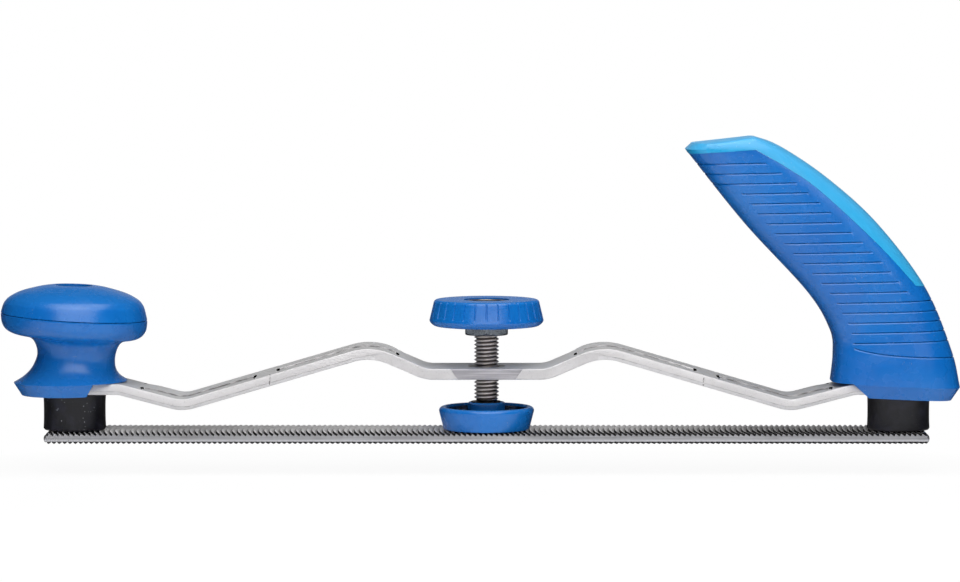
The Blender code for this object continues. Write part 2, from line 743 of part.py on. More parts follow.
def wheel_ring(radius, z, flute):
    """One ring of the wheel: three points to each flute, the middle one sunk."""
    step = 2 * math.pi / WHEEL_FLUTES
    points = []
    for index in range(WHEEL_FLUTES):
        for turn, depth in ((-WHEEL_FLUTE_ANGLE, 0.0), (0.0, flute), (WHEEL_FLUTE_ANGLE, 0.0)):
            angle = index * step + turn
            reach = radius - depth
            points.append(Vector((reach * math.cos(angle), reach * math.sin(angle), z)))
    return points


def build_wheel(parent, blue):
    """The fluted handwheel, with a recess on top and a hexagonal pocket for the lock nut below."""
    widest = WHEEL_Z + WHEEL_BASE_CHAMFER
    profile = (
        (WHEEL_BASE_RADIUS, WHEEL_Z, 0.0),
        (WHEEL_RADIUS, widest, 0.0),
        (WHEEL_RADIUS - WHEEL_FLUTE_DEPTH / 2, widest + WHEEL_TOP_ROUND, WHEEL_FLUTE_DEPTH),
        (WHEEL_TOP_RADIUS, WHEEL_TOP - WHEEL_TOP_ROUND, WHEEL_FLUTE_DEPTH),
        (WHEEL_TOP_RADIUS - WHEEL_TOP_ROUND, WHEEL_TOP, 0.0),
    )
    wheel = add_piece("handwheel", loft([wheel_ring(*point) for point in profile]), parent, blue)
    change(wheel, rod(WHEEL_RECESS_RADIUS, RECESS_FLOOR, 2 * WHEEL_TOP, ROUND_SIDES))
    change(wheel, rod(SHANK_RADIUS + FIT, 0.0, 2 * WHEEL_TOP))
    pocket = hexagon(NUT_ACROSS + 2 * SEAT, NUT_Z, NUT_Z + NUT_HEIGHT + SEAT, turn=math.pi / 6)
    change(wheel, pocket)


def build_wheel_nut(parent, steel):
    """The round nut in the wheel's recess."""
    bottom = RECESS_FLOOR + SEAT
    outer = WHEEL_RECESS_RADIUS - FIT
    nut = tube(SHANK_RADIUS + FIT, outer, bottom, bottom + WHEEL_NUT_HEIGHT, ROUND_SIDES)
    add_piece("wheel_nut", nut, parent, steel)


def knob_lean(height):
    """The head tilts toward the handle; the flare below stays level."""
    return KNOB_LEAN * ease(height / KNOB_NECK_HEIGHT)


def knob_ring(radius, height):
    """A ring of the knob at a height above the strap's pad."""
    return circle(radius, PAD_Z + height, ROUND_SIDES, -HOLE_X, knob_lean(height))


def knob_base_profile():
    """Outer line of the knob's base as (radius, height): skirt, flare, neck and the head's underside."""
    flare = KNOB_FLARE_RADIUS
    neck = KNOB_NECK_RADIUS
    line = [(flare - SKIRT_CHAMFER, -SKIRT_DEPTH), (flare, -SEAT)]
    for share in NECK_STEPS:
        swing = share * math.pi / 2
        line.append((neck + (flare - neck) * (1 - math.sin(swing)), KNOB_NECK_HEIGHT * (1 - math.cos(swing))))
    for share in THROAT_STEPS:
        swing = share * math.pi / 2
        radius = neck + KNOB_NECK_RISE / 2 * (1 - math.cos(swing))
        line.append((radius, KNOB_NECK_HEIGHT + KNOB_NECK_RISE * math.sin(swing)))
    for share in BOWL_STEPS:
        swing = share * math.pi / 2
        radius = KNOB_HEAD_RADIUS - KNOB_BOWL_DEPTH * (1 - math.sin(swing))
        line.append((radius, KNOB_SEAM_HEIGHT - KNOB_BOWL_DEPTH * math.cos(swing)))
    line.append((KNOB_HEAD_RADIUS, KNOB_SEAM_HEIGHT - SEAT))
    return line


def pad_space(x, side, notch_x, notch_lean):
    """Shapes that clear the strap from a skirt: its round pad, its run inward, and a slanting notch."""
    half = STRAP_WIDTH / 2 + FIT
    roof = PAD_Z + SEAT
    depth = PAD_Z - 2 * SKIRT_DEPTH
    far = x + side * 2 * STRAP_PAD_REACH
    run = slab(((x, depth), (far, depth), (far, roof), (x, roof)), half)
    bottom_x = x + notch_x + side * -notch_lean * (roof - depth) / SKIRT_DEPTH
    notch = slab(((bottom_x, depth), (far, depth), (far, roof), (x + notch_x, roof)), KNOB_HEAD_RADIUS)
    return rod(half, depth, roof, ROUND_SIDES, x), run, notch


def build_knob_base(parent, blue):
    """Flare, neck and lower half of the head, dished inside round a central boss."""
    rings = [knob_ring(radius, height) for radius, height in knob_base_profile()]
    seam = KNOB_SEAM_HEIGHT - SEAT
    floor = KNOB_UNDERSIDE_HEIGHT + KNOB_WALL
    for radius, height in (
        (KNOB_HEAD_RADIUS - KNOB_WALL, seam),
        (KNOB_HEAD_RADIUS - 2 * KNOB_WALL, floor),
        (KNOB_BOSS_RADIUS, floor),
        (KNOB_BOSS_RADIUS, seam),
    ):
        rings.append(knob_ring(radius, height))
    base = add_piece("knob_base", loft(rings), parent, blue)
    for space in pad_space(-HOLE_X, 1, KNOB_NOTCH_X, KNOB_NOTCH_LEAN):
        change(base, space)
    pocket = PAD_Z + SEAT + KNOB_INSERT_LENGTH + SEAT
    change(base, rod(INSERT_RADIUS + SEAT, 0.0, pocket, SMALL_SIDES, -HOLE_X))
    change(base, rod(SCREW_HOLE_RADIUS, 0.0, 2 * pocket, SMALL_SIDES, -HOLE_X))


def build_knob_cap(parent, blue):
    """The domed upper half: a shell with a boss, and a recess for the screw's head."""
    head = KNOB_HEAD_RADIUS
    seam = KNOB_SEAM_HEIGHT + SEAT
    shoulder = KNOB_SHOULDER_HEIGHT
    line = [(head, seam)]
    for share in CAP_STEPS:
        swing = share * math.pi / 2
        line.append((head - KNOB_BROW * (1 - math.cos(swing)), seam + (shoulder - seam) * math.sin(swing)))
    line.append((KNOB_RECESS_RADIUS + KNOB_WALL, KNOB_TOP))
    roof = shoulder - KNOB_WALL
    inside = (
        (KNOB_BOSS_RADIUS, seam),
        (KNOB_BOSS_RADIUS, roof),
        (head - KNOB_BROW - KNOB_WALL, roof - KNOB_WALL / 2),
        (head - KNOB_WALL, seam + KNOB_WALL),
        (head - KNOB_WALL, seam),
    )
    rings = [knob_ring(SCREW_RADIUS, KNOB_TOP)]
    rings.extend(knob_ring(radius, height) for radius, height in reversed(line))
    rings.extend(knob_ring(radius, height) for radius, height in reversed(inside))
    rings.append(knob_ring(SCREW_RADIUS, seam))
    cap = add_piece("knob_cap", loft(rings), parent, blue)
    floor = PAD_Z + KNOB_TOP - KNOB_RECESS_DEPTH
    change(cap, rod(KNOB_RECESS_RADIUS, floor, 2 * floor, ROUND_SIDES, -HOLE_X))
    change(cap, rod(SCREW_HOLE_RADIUS, 0.0, 2 * floor, SMALL_SIDES, -HOLE_X))


def build_knob_fittings(parent, brass, steel):
    """Insert in the neck, and the socket screw with its washer in the recess."""
    bottom = PAD_Z + SEAT
    top = bottom + KNOB_INSERT_LENGTH
    insert = tube(SCREW_HOLE_RADIUS, INSERT_RADIUS, bottom, top, x=-HOLE_X)
    add_piece("knob_insert", insert, parent, brass)
    washer = PAD_Z + KNOB_TOP - KNOB_RECESS_DEPTH + SEAT
    outer = KNOB_RECESS_RADIUS - FIT
    ring = tube(SCREW_HOLE_RADIUS, outer, washer, washer + KNOB_WASHER, x=-HOLE_X)
    add_piece("knob_washer", ring, parent, steel)
    seat = washer + KNOB_WASHER + SEAT
    profile = (
        (SCREW_RADIUS, top - KNOB_SCREW_REACH),
        (SCREW_RADIUS, seat),
        (KNOB_SCREW_HEAD_RADIUS, seat),
        (KNOB_SCREW_HEAD_RADIUS, seat + KNOB_SCREW_HEAD),
    )
    screw = add_piece("knob_screw", turned(profile, SMALL_SIDES, -HOLE_X), parent, steel)
    key = hexagon(SCREW_KEY, seat + KNOB_SCREW_HEAD - KNOB_SCREW_KEY_DEPTH, 2 * seat, -HOLE_X)
    change(screw, key)


def handle_edges():
    """Front and back edges of the handle as rising curves of (x, height)."""
    front = spline(HANDLE_FRONT) + [Vector(HANDLE_TIP), Vector(HANDLE_BROW), Vector(HANDLE_CROWN)]
    back = spline((*HANDLE_BACK, HANDLE_CROWN))
    return front, back


def handle_half_width(height):
    """Half of the handle's width: wide at the base, even along the grip, rounded off at the top."""
    base = HANDLE_BASE_WIDTH / 2
    grip = HANDLE_GRIP_WIDTH / 2
    width = base + (grip - base) * ease(height / HANDLE_GRIP_HEIGHT)
    into = height - (HANDLE_CROWN[1] - HANDLE_TOP_ROUND)
    if into > 0:
        width -= HANDLE_TOP_ROUND - math.sqrt(max(HANDLE_TOP_ROUND**2 - into**2, 0.0))
    return width


def handle_ring(front_x, back_x, half, height):
    """One level of the handle, with a rounded front and back, sloped near the base."""
    middle = (front_x + back_x) / 2
    reach = (back_x - front_x) / 2
    power = 2 / HANDLE_SQUARENESS
    slope = HANDLE_BASE_SLOPE * (1 - ease(height / HANDLE_GRIP_HEIGHT))
    points = []
    for side in range(HANDLE_SIDES):
        angle = 2 * math.pi * side / HANDLE_SIDES
        run = math.copysign(abs(math.cos(angle)) ** power, math.cos(angle))
        x = middle + reach * run
        y = half * math.copysign(abs(math.sin(angle)) ** power, math.sin(angle))
        points.append(Vector((HOLE_X + x, y, PAD_Z + height - slope * x)))
    return points


def handle_stock():
    """The whole outer shape of handle and inlay."""
    front, back = handle_edges()
    low = HANDLE_BACK[0][1]
    half = handle_half_width(low)
    rings = [
        handle_ring(front[0].x + SKIRT_CHAMFER, back[0].x - SKIRT_CHAMFER, half - SKIRT_CHAMFER, -SKIRT_DEPTH)
    ]
    top = HANDLE_BROW[1]
    levels = [low + (HANDLE_TIP[1] - low) * step / HANDLE_RINGS for step in range(HANDLE_RINGS + 1)]
    levels.append(top)
    levels.extend(top + share * (HANDLE_CROWN[1] - top) for share in CROWN_LEVELS)
    for level in levels:
        rings.append(handle_ring(across(front, level), across(back, level), handle_half_width(level), level))
    return loft(rings)


def inlay_band(clearance):
    """Side outline of the space over the inlay's lower edge, moved up and back by a clearance."""
    edge = [point + Vector((clearance, clearance)) for point in spline(INLAY_EDGE)]
    ahead = HANDLE_TIP[0] - INLAY_SURPLUS
    above = HANDLE_CROWN[1] + INLAY_SURPLUS
    behind = HANDLE_BACK[0][0] + INLAY_SURPLUS
    below = edge[0].y - INLAY_END_FALL * (behind - edge[0].x)
    corners = [(ahead, edge[-1].y), (ahead, above), (behind, above), (behind, below)]
    return [(HOLE_X + x, PAD_Z + z) for x, z in [*edge, *corners]]


def hollow_outline():
    """Side outline of the handle's hollow: open to the inlay above its lower end, walled elsewhere."""
    front, back = handle_edges()
    tall = HANDLE_HOLLOW_TOP - HANDLE_FLOOR
    near = []
    far = []
    for step in range(HANDLE_RINGS + 1):
        level = HANDLE_FLOOR + tall * step / HANDLE_RINGS
        wall = back_wall = HANDLE_WALL * math.sqrt(2)
        if level > INLAY_EDGE[0][1] + HANDLE_WALL:
            back_wall = -INLAY_SURPLUS
        near.append((across(front, level) + wall, level))
        far.append((across(back, level) - back_wall, level))
    return [(HOLE_X + x, PAD_Z + z) for x, z in [*near, *reversed(far)]]


def build_handle(parent, blue):
    """The handle's body: a hollow shell that the inlay closes, with a skirt over the strap's end."""
    body = add_piece("handle_body", handle_stock(), parent, blue)
    change(body, slab(inlay_band(0.0), HANDLE_BASE_WIDTH))
    change(body, slab(hollow_outline(), HANDLE_GRIP_WIDTH / 2 - HANDLE_WALL))
    for space in pad_space(HOLE_X, -1, HANDLE_NOTCH_X, HANDLE_NOTCH_LEAN):
        change(body, space)
    top = PAD_Z + SEAT + HANDLE_INSERT_LENGTH + SEAT
    change(body, rod(INSERT_RADIUS + SEAT, 0.0, top, SMALL_SIDES, HOLE_X))


def build_inlay(parent, light_blue):
    """The strip that closes the handle's top and back."""
    inlay = add_piece("handle_inlay", handle_stock(), parent, light_blue)
    change(inlay, slab(inlay_band(FIT), HANDLE_BASE_WIDTH), "INTERSECT")


def build_handle_fittings(parent, brass):
    """The threaded insert in the handle's base."""
    bottom = PAD_Z + SEAT
    insert = tube(SCREW_HOLE_RADIUS, INSERT_RADIUS, bottom, bottom + HANDLE_INSERT_LENGTH, x=HOLE_X)
    add_piece("handle_insert", insert, parent, brass)


def main():
    clear_scene()
    blue = finish("blue_plastic", BLUE, 0.42, 0.0)
    light_blue = finish("light_blue_plastic", LIGHT_BLUE, 0.40, 0.0)
    rubber = finish("black_rubber", RUBBER, 0.75, 0.0)
    aluminium = finish("cast_aluminium", ALUMINIUM, 0.45, 1.0)
    blade_steel = finish("blade_steel", BLADE_STEEL, 0.35, 1.0)
    spindle_steel = finish("spindle_steel", SPINDLE_STEEL, 0.40, 1.0)
    zinc = finish("zinc_plate", ZINC, 0.35, 1.0)
    brass = finish("brass", BRASS, 0.35, 1.0)
    black_steel = finish("black_steel", BLACK_STEEL, 0.45, 1.0)

    left = -HOLE_X - KNOB_HEAD_RADIUS
    right = HOLE_X + HANDLE_BACK[0][0]
    holder = add_empty("holder", x=-(left + right) / 2)
    foot = add_empty("foot", holder)
    turning = add_empty("turning", foot)

    build_blade(holder, blade_steel)
    build_buffer("front_buffer", holder, -HOLE_X, rubber)
    build_buffer("rear_buffer", holder, HOLE_X, rubber)
    build_strap(holder, aluminium)
    build_bush(holder, spindle_steel)
    screw_top = PAD_Z + SEAT + SCREW_THREAD_REACH
    build_screw("front_blade_screw", screw_top, holder, -HOLE_X, black_steel)
    build_screw("rear_blade_screw", screw_top, holder, HOLE_X, black_steel)
    build_knob_base(holder, blue)
    build_knob_cap(holder, blue)
    build_knob_fittings(holder, brass, zinc)
    build_handle(holder, blue)
    build_inlay(holder, light_blue)
    build_handle_fittings(holder, brass)

    build_foot(foot, blue)
    build_foot_fittings(foot, brass, spindle_steel, black_steel)

    build_spindle(turning, spindle_steel)
    build_wheel(turning, blue)
    build_nut(turning, zinc)
    build_wheel_nut(turning, spindle_steel)


main()
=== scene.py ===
"""Looks of an adjustable body file: fine surfaces, materials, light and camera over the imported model.

Metres, +Z up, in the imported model's frame: X runs along the blade from the knob to the handle, and
z = 0 lies at the tooth tips.
"""

import math

import bmesh
import bpy
import numpy as np
from mathutils import Matrix, Vector


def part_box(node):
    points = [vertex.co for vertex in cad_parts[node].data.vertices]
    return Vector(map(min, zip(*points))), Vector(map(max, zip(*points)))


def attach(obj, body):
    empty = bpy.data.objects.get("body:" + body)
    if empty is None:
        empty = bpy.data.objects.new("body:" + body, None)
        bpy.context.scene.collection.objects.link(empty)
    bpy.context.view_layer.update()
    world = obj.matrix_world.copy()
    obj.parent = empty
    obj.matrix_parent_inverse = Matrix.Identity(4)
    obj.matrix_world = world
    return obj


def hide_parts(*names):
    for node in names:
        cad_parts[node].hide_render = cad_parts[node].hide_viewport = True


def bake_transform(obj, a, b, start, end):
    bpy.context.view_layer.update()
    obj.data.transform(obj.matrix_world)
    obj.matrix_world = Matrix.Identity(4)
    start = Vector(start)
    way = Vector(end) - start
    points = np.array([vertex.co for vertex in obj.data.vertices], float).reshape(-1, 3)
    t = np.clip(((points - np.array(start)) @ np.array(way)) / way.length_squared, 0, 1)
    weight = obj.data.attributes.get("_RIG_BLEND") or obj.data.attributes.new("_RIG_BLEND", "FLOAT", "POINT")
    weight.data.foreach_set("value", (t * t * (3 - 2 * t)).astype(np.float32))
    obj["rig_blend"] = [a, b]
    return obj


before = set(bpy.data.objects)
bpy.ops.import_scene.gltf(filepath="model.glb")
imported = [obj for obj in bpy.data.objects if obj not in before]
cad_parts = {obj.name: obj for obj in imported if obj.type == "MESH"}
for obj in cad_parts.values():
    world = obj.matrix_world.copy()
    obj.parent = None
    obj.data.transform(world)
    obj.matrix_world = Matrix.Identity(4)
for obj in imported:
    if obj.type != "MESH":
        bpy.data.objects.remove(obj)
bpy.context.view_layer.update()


def axis_of(node):
    """The x of a round node's vertical axis."""
    low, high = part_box(node)
    return (low.x + high.x) / 2


def span_of(node):
    """The z of a node's bottom and top."""
    return [corner.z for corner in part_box(node)]


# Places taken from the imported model
SPINDLE_X = axis_of("handwheel")
FRONT_X = axis_of("front_buffer")
REAR_X = axis_of("rear_buffer")
HOLE_REACH = REAR_X - SPINDLE_X
BLADE_LOW, BLADE_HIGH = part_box("file_blade")
BUSH_LOW, BUSH_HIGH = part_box("spindle_bush")
BUFFER_Z, BUFFER_TOP = span_of("front_buffer")
WHEEL_Z, WHEEL_TOP = span_of("handwheel")
NUT_Z, NUT_TOP = span_of("lock_nut")
FOOT_Z, BOSS_Z = span_of("pressure_foot")
RING_Z, RING_TOP = span_of("retaining_ring")
SPINDLE_Z, SPINDLE_TOP = span_of("spindle")

# Clearances
SEAT = 0.0002
FIT = 0.0003
TINY = 1e-7

ROUND_SIDES = 96
SMALL_SIDES = 48

# Blade
BLADE_LENGTH = BLADE_HIGH.x - BLADE_LOW.x
BLADE_WIDTH = BLADE_HIGH.y - BLADE_LOW.y
BLADE_THICKNESS = BLADE_HIGH.z - BLADE_LOW.z
BLADE_CORNER = 0.0012
BLADE_CORNER_DEGREES = (0, 22, 45, 68, 90)
BLADE_END_CROWN = 0.0003
BLADE_END_STEPS = 16
TOOTH_PITCH = 0.0254 / 12
TOOTH_DEPTH = 0.00095
# One tooth as (run, share of its depth): gullet, cutting edge and rounded back
TOOTH_LINE = ((0.0, 1.0), (0.00030, 0.0), (0.00055, 0.05), (0.00115, 0.50), (0.00165, 1.0))
TOOTH_ARC_RADIUS = 0.066
TOOTH_STATIONS = 18
# How far a face looks sideways on the ground edges, and forward on the teeth, where it takes the near-black
# painted shade
EDGE_FACING = 0.7
TOOTH_FACING = 0.5

# Countersunk screws
SCREW_RADIUS = 0.0029
SCREW_HOLE = SCREW_RADIUS + FIT
SCREW_HEAD_RADIUS = 0.0056
SCREW_HEAD_SINK = 0.0005
SCREW_KEY = 0.0040
SCREW_KEY_DEPTH = 0.0018
SCREW_TIP = 0.0007

# Buffers
BUFFER_RADIUS = 0.0125
BUFFER_WAIST = 0.00025
BUFFER_EDGE = 0.0005
BUFFER_FLARE = 2.5
BUFFER_STEPS = 24

# Strap: points of its top line as (reach from the spindle, height over the spindle's or the pad's level)
STRAP_Z = BUSH_HIGH.z
STRAP_WIDTH = 0.028
STRAP_THICKNESS = 0.0044
PAD_Z = BUFFER_TOP + SEAT + STRAP_THICKNESS
STRAP_BEND_RADIUS = 0.013
STRAP_BEND_STEPS = 10
STRAP_PEAK_RADIUS = 0.024
STRAP_CENTRE_X = 0.0235
STRAP_PEAK = (0.0454, 0.0094)
STRAP_BEND = (0.1203, -0.0065)
STRAP_PAD_REACH = 0.0190
STRAP_END_DEGREES = (0, 12, 24, 36, 48, 58, 67, 75)
STRAP_ROUND = 0.00035
STRAP_TAPER = 0.0007
STRAP_RIDGE = (0.0007, 0.0030)
STRAP_RIDGE_RUN = (0.0370, 0.0500)
STRAP_RIDGE_STEP = 0.00012
STRAP_RISE = 0.0010
STRAP_RISE_START = (0.0270, 0.0400)
STRAP_RISE_END = (0.1300, 0.1420)
STRAP_PLATEAU = 0.0080
STRAP_BLEND_STEPS = 9
STRAP_STATION_GAP = 0.0003
STRAP_REBATE_DEPTH = 0.00045
STRAP_REBATE_SLOPE = 0.0008
STRAP_REBATES = ((0.0352, 0.0826), (0.0917, 0.1365))
STRAP_PIT_RADIUS = 0.0007
STRAP_PIT_LENGTH = 0.0042
STRAP_PIT_DEPTH = 0.0012
STRAP_PIT_SIDES = 16
# How far round each slot the faces take the near-black painted shade
STRAP_PIT_REACH = 1.02

# Marks on the strap's sides: a ground trapezoid at the spindle and a witness line on each slope
GROUND_REACH = 0.0112
GROUND_SLOPE = 0.70
GROUND_EDGE = 0.0001
WITNESS_REACH = 0.0857
WITNESS_WANDER = 0.0018
WITNESS_EDGE = (0.00028, 0.00012)

# Spindle thread, M10 x 1.5
THREAD_RADIUS = 0.0049
THREAD_PITCH = 0.0015
THREAD_DEPTH = 0.00092
THREAD_CREST = 0.00022
THREAD_ROOT = 0.00016
THREAD_SIDES = 48
NECK_RADIUS = 0.0030
BUTTON_RADIUS = 0.0042
BUTTON_HEIGHT = 0.0024
BUTTON_CHAMFER = 0.0008

# Foot: its edge and fillet as (inset, height)
FOOT_RADIUS = 0.0173
FOOT_RIM_RADIUS = 0.01895
FOOT_HEIGHT = 0.0090
FOOT_WALL = 0.0030
FOOT_FLOOR = 0.0030
FOOT_EDGE = ((0.0007, 0.0), (0.0002, 0.0002), (0.0, 0.0008))
FOOT_FILLET = ((0.0006, 0.0012), (0.0018, 0.0))
FOOT_LIP = 0.0016
FOOT_SCREW_SPACE = 0.0012
BOSS_RADIUS = 0.0075
BOSS_FILLET = 0.0008
BOSS_CHAMFER = 0.0005
# Share of the painted shade and grease kept on the boss inside the cup
BOSS_SHADE_AND_GREASE = 0.5
RING_RADIUS = 0.00625
RING_EDGE = 0.00015
RING_MOUTH = 0.9

# Handwheel: edges as (inset, height), the recess's rim as (reach, fall), flutes as (place, share of depth)
WHEEL_RADIUS = 0.02275
WHEEL_BASE_RADIUS = 0.0210
WHEEL_TOP_RADIUS = 0.0211
WHEEL_CHAMFER = 0.0022
WHEEL_ROUND = 0.0015
WHEEL_EDGE = ((0.0006, 0.0), (0.0, 0.0002))
WHEEL_BELLY = ((0.0008, -0.0013), (0.0003, -0.0007), (0.0001, -0.0003))
WHEEL_BROW = ((0.0012, 0.0), (0.0004, 0.00005))
WHEEL_FLUTES = 30
WHEEL_FLUTE_DEPTH = 0.00045
WHEEL_FLUTE_HALF = math.radians(0.95)
WHEEL_FLUTE_LINE = ((-1.0, 0.0), (-0.25, 0.9), (0.25, 0.9), (1.0, 0.0))
WHEEL_FLUTE_START = ((0.0001, 0.0), (0.0010, 0.0), (0.0014, 0.7), (0.0020, 1.0))
WHEEL_FLUTE_FADE = 1.6
WHEEL_LAND_STEPS = 4
WHEEL_RECESS_RADIUS = 0.00915
WHEEL_RECESS_DEPTH = 0.0031

# Nuts
NUT_ACROSS = 0.017
NUT_CHAMFER = 0.0010
NUT_FACE = 0.97
WHEEL_NUT_HEIGHT = 0.0024
WHEEL_NUT_CHAMFER = 0.0004
WHEEL_NUT_BORE_CHAMFER = 0.0005
WHEEL_BORE = THREAD_RADIUS + 2 * FIT

# Knob
KNOB_FLARE_LEAN = -0.015
KNOB_SEAM_LEAN = 0.060
KNOB_TOP_LEAN = 0.033
KNOB_NECK_HEIGHT = 0.0099
KNOB_SEAM = 0.0258
KNOB_SHOULDER = 0.0330
KNOB_SEAM_CHAMFER = 0.00025
# The skirt as (inset, fall) from the flare
KNOB_SKIRT = ((0.0031, 0.0050), (0.00012, 0.00030))
# Rings as (radius, height above the strap's pad, shift of the centre from the screw)
KNOB_BASE_LINE = (
    (0.0226, 0.0000, -0.0015),
    (0.0192, 0.0022, -0.0010),
    (0.0168, 0.0050, -0.0002),
    (0.0156, 0.0084, 0.0005),
    (0.0155, 0.0110, 0.0008),
    (0.0162, 0.0138, 0.0009),
    (0.0178, 0.0162, 0.0009),
    (0.0208, 0.0174, 0.0007),
    (0.0246, 0.0181, 0.0003),
    (0.0272, 0.0196, 0.0000),
    (0.0286, 0.0219, 0.0000),
    (0.0290, 0.0247, 0.0000),
    (0.0290, 0.0255, 0.0000),
)
KNOB_CAP_LINE = (
    (0.0290, 0.0261),
    (0.0281, 0.0295),
    (0.0272, 0.0313),
    (0.0254, 0.0331),
    (0.0210, 0.0354),
    (0.0140, 0.0374),
    (0.0095, 0.0382),
)
KNOB_BASE_STEPS = 6
KNOB_CAP_STEPS = 8
KNOB_NOTCH_X = 0.0092
KNOB_NOTCH_LEAN = 0.0036
KNOB_RECESS_RADIUS = 0.0073
KNOB_RECESS_DEPTH = 0.0085
KNOB_RECESS_RIM = 0.0004
SKIRT_DEPTH = 0.0062
SKIRT_CHAMFER = 0.0031

# Handle: points from the rear screw's axis and above the strap's pad
HANDLE_FRONT = (
    (-0.0272, -0.0009),
    (-0.0260, 0.0116),
    (-0.0276, 0.0211),
    (-0.0367, 0.0359),
    (-0.0616, 0.0629),
    (-0.0840, 0.0908),
)
HANDLE_TIP = (-0.0854, 0.0924)
HANDLE_BROW = (-0.0826, 0.0950)
HANDLE_CROWN = (-0.0583, 0.0976)
HANDLE_BACK = (
    (0.0238, -0.0009),
    (0.0204, 0.0133),
    (0.0100, 0.0377),
    (-0.0091, 0.0629),
    (-0.0289, 0.0809),
    (-0.0476, 0.0935),
)
HANDLE_BASE_WIDTH = 0.036
HANDLE_GRIP_WIDTH = 0.031
HANDLE_GRIP_HEIGHT = 0.026
HANDLE_TOP_ROUND = 0.0055
HANDLE_SQUARENESS = 3.4
HANDLE_BASE_SLOPE = 0.045
HANDLE_LEVEL_HEIGHT = 0.0125
HANDLE_NOTCH_X = -0.0194
HANDLE_NOTCH_LEAN = 0.0068
HANDLE_SIDES = 260
HANDLE_SAMPLES = 1441
HANDLE_CURVE_STEPS = 20
HANDLE_BASE_STEPS = 8
HANDLE_TOP_STEPS = 5
HANDLE_CROWN_SHARES = (0.2, 0.4, 0.6, 0.8, 0.92)
INLAY_EDGE = (
    (0.0054, 0.0388),
    (-0.0099, 0.0553),
    (-0.0327, 0.0763),
    (-0.0464, 0.0858),
    (-0.0583, 0.0926),
)
INLAY_TIP = (-0.0840, 0.0908)
INLAY_END_FALL = 0.12
INLAY_SURPLUS = 0.020
INLAY_PROUD = 0.00010
INLAY_GAP = 0.00003

# Grip grooves
GROOVE_TOP = 0.0870
GROOVE_PITCH = 0.0040
GROOVE_TILT = 0.022
GROOVE_START_X = -0.0794
GROOVE_COUNT = 19
GROOVE_DEPTH = 0.00048
GROOVE_LIP = 0.00006
GROOVE_BEVEL = 0.00075
GROOVE_END = 0.0005
GROOVE_THROUGH_FRONT = 3
GROOVE_THROUGH_BACK = 14
GROOVE_FRONT_MARGIN = (0.0080, 0.0062)
GROOVE_BACK_MARGIN = 0.0048
PAD_EDGE_HEIGHT = 0.0144
PAD_EDGE_FALL = 0.0040
PAD_EDGE_START = -0.0190
PAD_EDGE_RUN = 0.0125

# Camera: a long lens, a little above the tool, looking along +Y
PHOTO_WIDTH = 960
CAMERA_PLACE = (0.0, -1.640, 0.177)
CAMERA_AIM = (0.0, 0.0, 0.0593)
CAMERA_SENSOR = 0.036
PIXEL_SIZE = 0.000398

# Studio; the floor is low enough for the blade's belly when the spindle is screwed right down
WHITE = (1.0, 1.0, 1.0, 1.0)
ROOM_LEVELS = (0.02, 0.30)
WALL_EDGE = (0.86, 0.98)
FLOOR_Z = -0.0125
FLOOR_REACH = 150.0
FLOOR_COLOUR = (0.95, 0.05)
FLOOR_WHITE = (0.92, 1.0)
FLOOR_FADE = (-0.02, 0.08)
FLOOR_HALF_LENGTH = 0.17
FLOOR_FLARE = 0.6
FLOOR_ROUGHNESS = 0.9
FLOOR_GLOSS = 0.1
# Lamps as (name, place, aim, size, watts, whether they show in glossy surfaces)
LAMPS = (
    ("front", (0.1, -1.15, 1.10), (0.02, 0.0, 0.05), (1.8, 1.5), 24, True),
    ("top", (0.1, -0.30, 1.6), (0.0, -0.1, 0.0), (1.8, 1.1), 17, True),
    ("back_fill", (-0.1, 1.5, 0.62), (0.0, 0.0, 0.05), (1.0, 0.8), 10.5, False),
)


def loft(rings, closed=False):
    """Skins equal rings of points; the ends are capped unless it is closed."""
    mesh = bmesh.new()
    loops = [[mesh.verts.new(point) for point in ring] for ring in rings]
    if closed:
        loops.append(loops[0])
    else:
        mesh.faces.new(loops[0])
        mesh.faces.new(loops[-1])
    for low, high in zip(loops, loops[1:]):
        for here in range(len(low)):
            after = (here + 1) % len(low)
            mesh.faces.new((low[here], low[after], high[after], high[here]))
    bmesh.ops.recalc_face_normals(mesh, faces=mesh.faces)
    return mesh


def loft_with_shade_and_dirt(rings):
    """Skins rings of (place, share) and stores the share of painted shade and dirt on the vertices."""
    mesh = loft([[place for place, _ in ring] for ring in rings])
    layer = mesh.verts.layers.float.new("crease_shade_and_dirt")
    for vertex, crease_shade_and_dirt in zip(mesh.verts, [crease_shade_and_dirt for ring in rings for _, crease_shade_and_dirt in ring]):
        vertex[layer] = crease_shade_and_dirt
    return mesh


def circle(radius, z, sides, x, lean=0.0, phase=0.0):
    """A ring of points about the vertical axis at x; lean is its fall per metre of +X."""
    points = []
    for side in range(sides):
        angle = 2 * math.pi * (side + phase) / sides
        run = radius * math.cos(angle)
        points.append((x + run, radius * math.sin(angle), z - lean * run))
    return points


def turned(profile, sides=ROUND_SIDES, x=SPINDLE_X, hollow=False, phase=0.0):
    """A turned solid from (radius, z) points; a hollow one goes round a bore."""
    return loft([circle(radius, z, sides, x, phase=phase) for radius, z in profile], closed=hollow)


def rod(radius, bottom, top, sides=ROUND_SIDES, x=SPINDLE_X):
    """A plain cylinder for cutting, turned half a facet away from what it cuts."""
    return turned(((radius, bottom), (radius, top)), sides, x, phase=0.5)


def barrel(face, radius, bottom, top, chamfer):
    """The profile of a rod that is chamfered at both ends."""
    return (face, bottom), (radius, bottom + chamfer), (radius, top - chamfer), (face, top)


def slab(outline, half_width):
    """A side outline of (x, z) points pulled out across Y."""
    return loft([[(x, y, z) for x, z in outline] for y in (-half_width, half_width)])


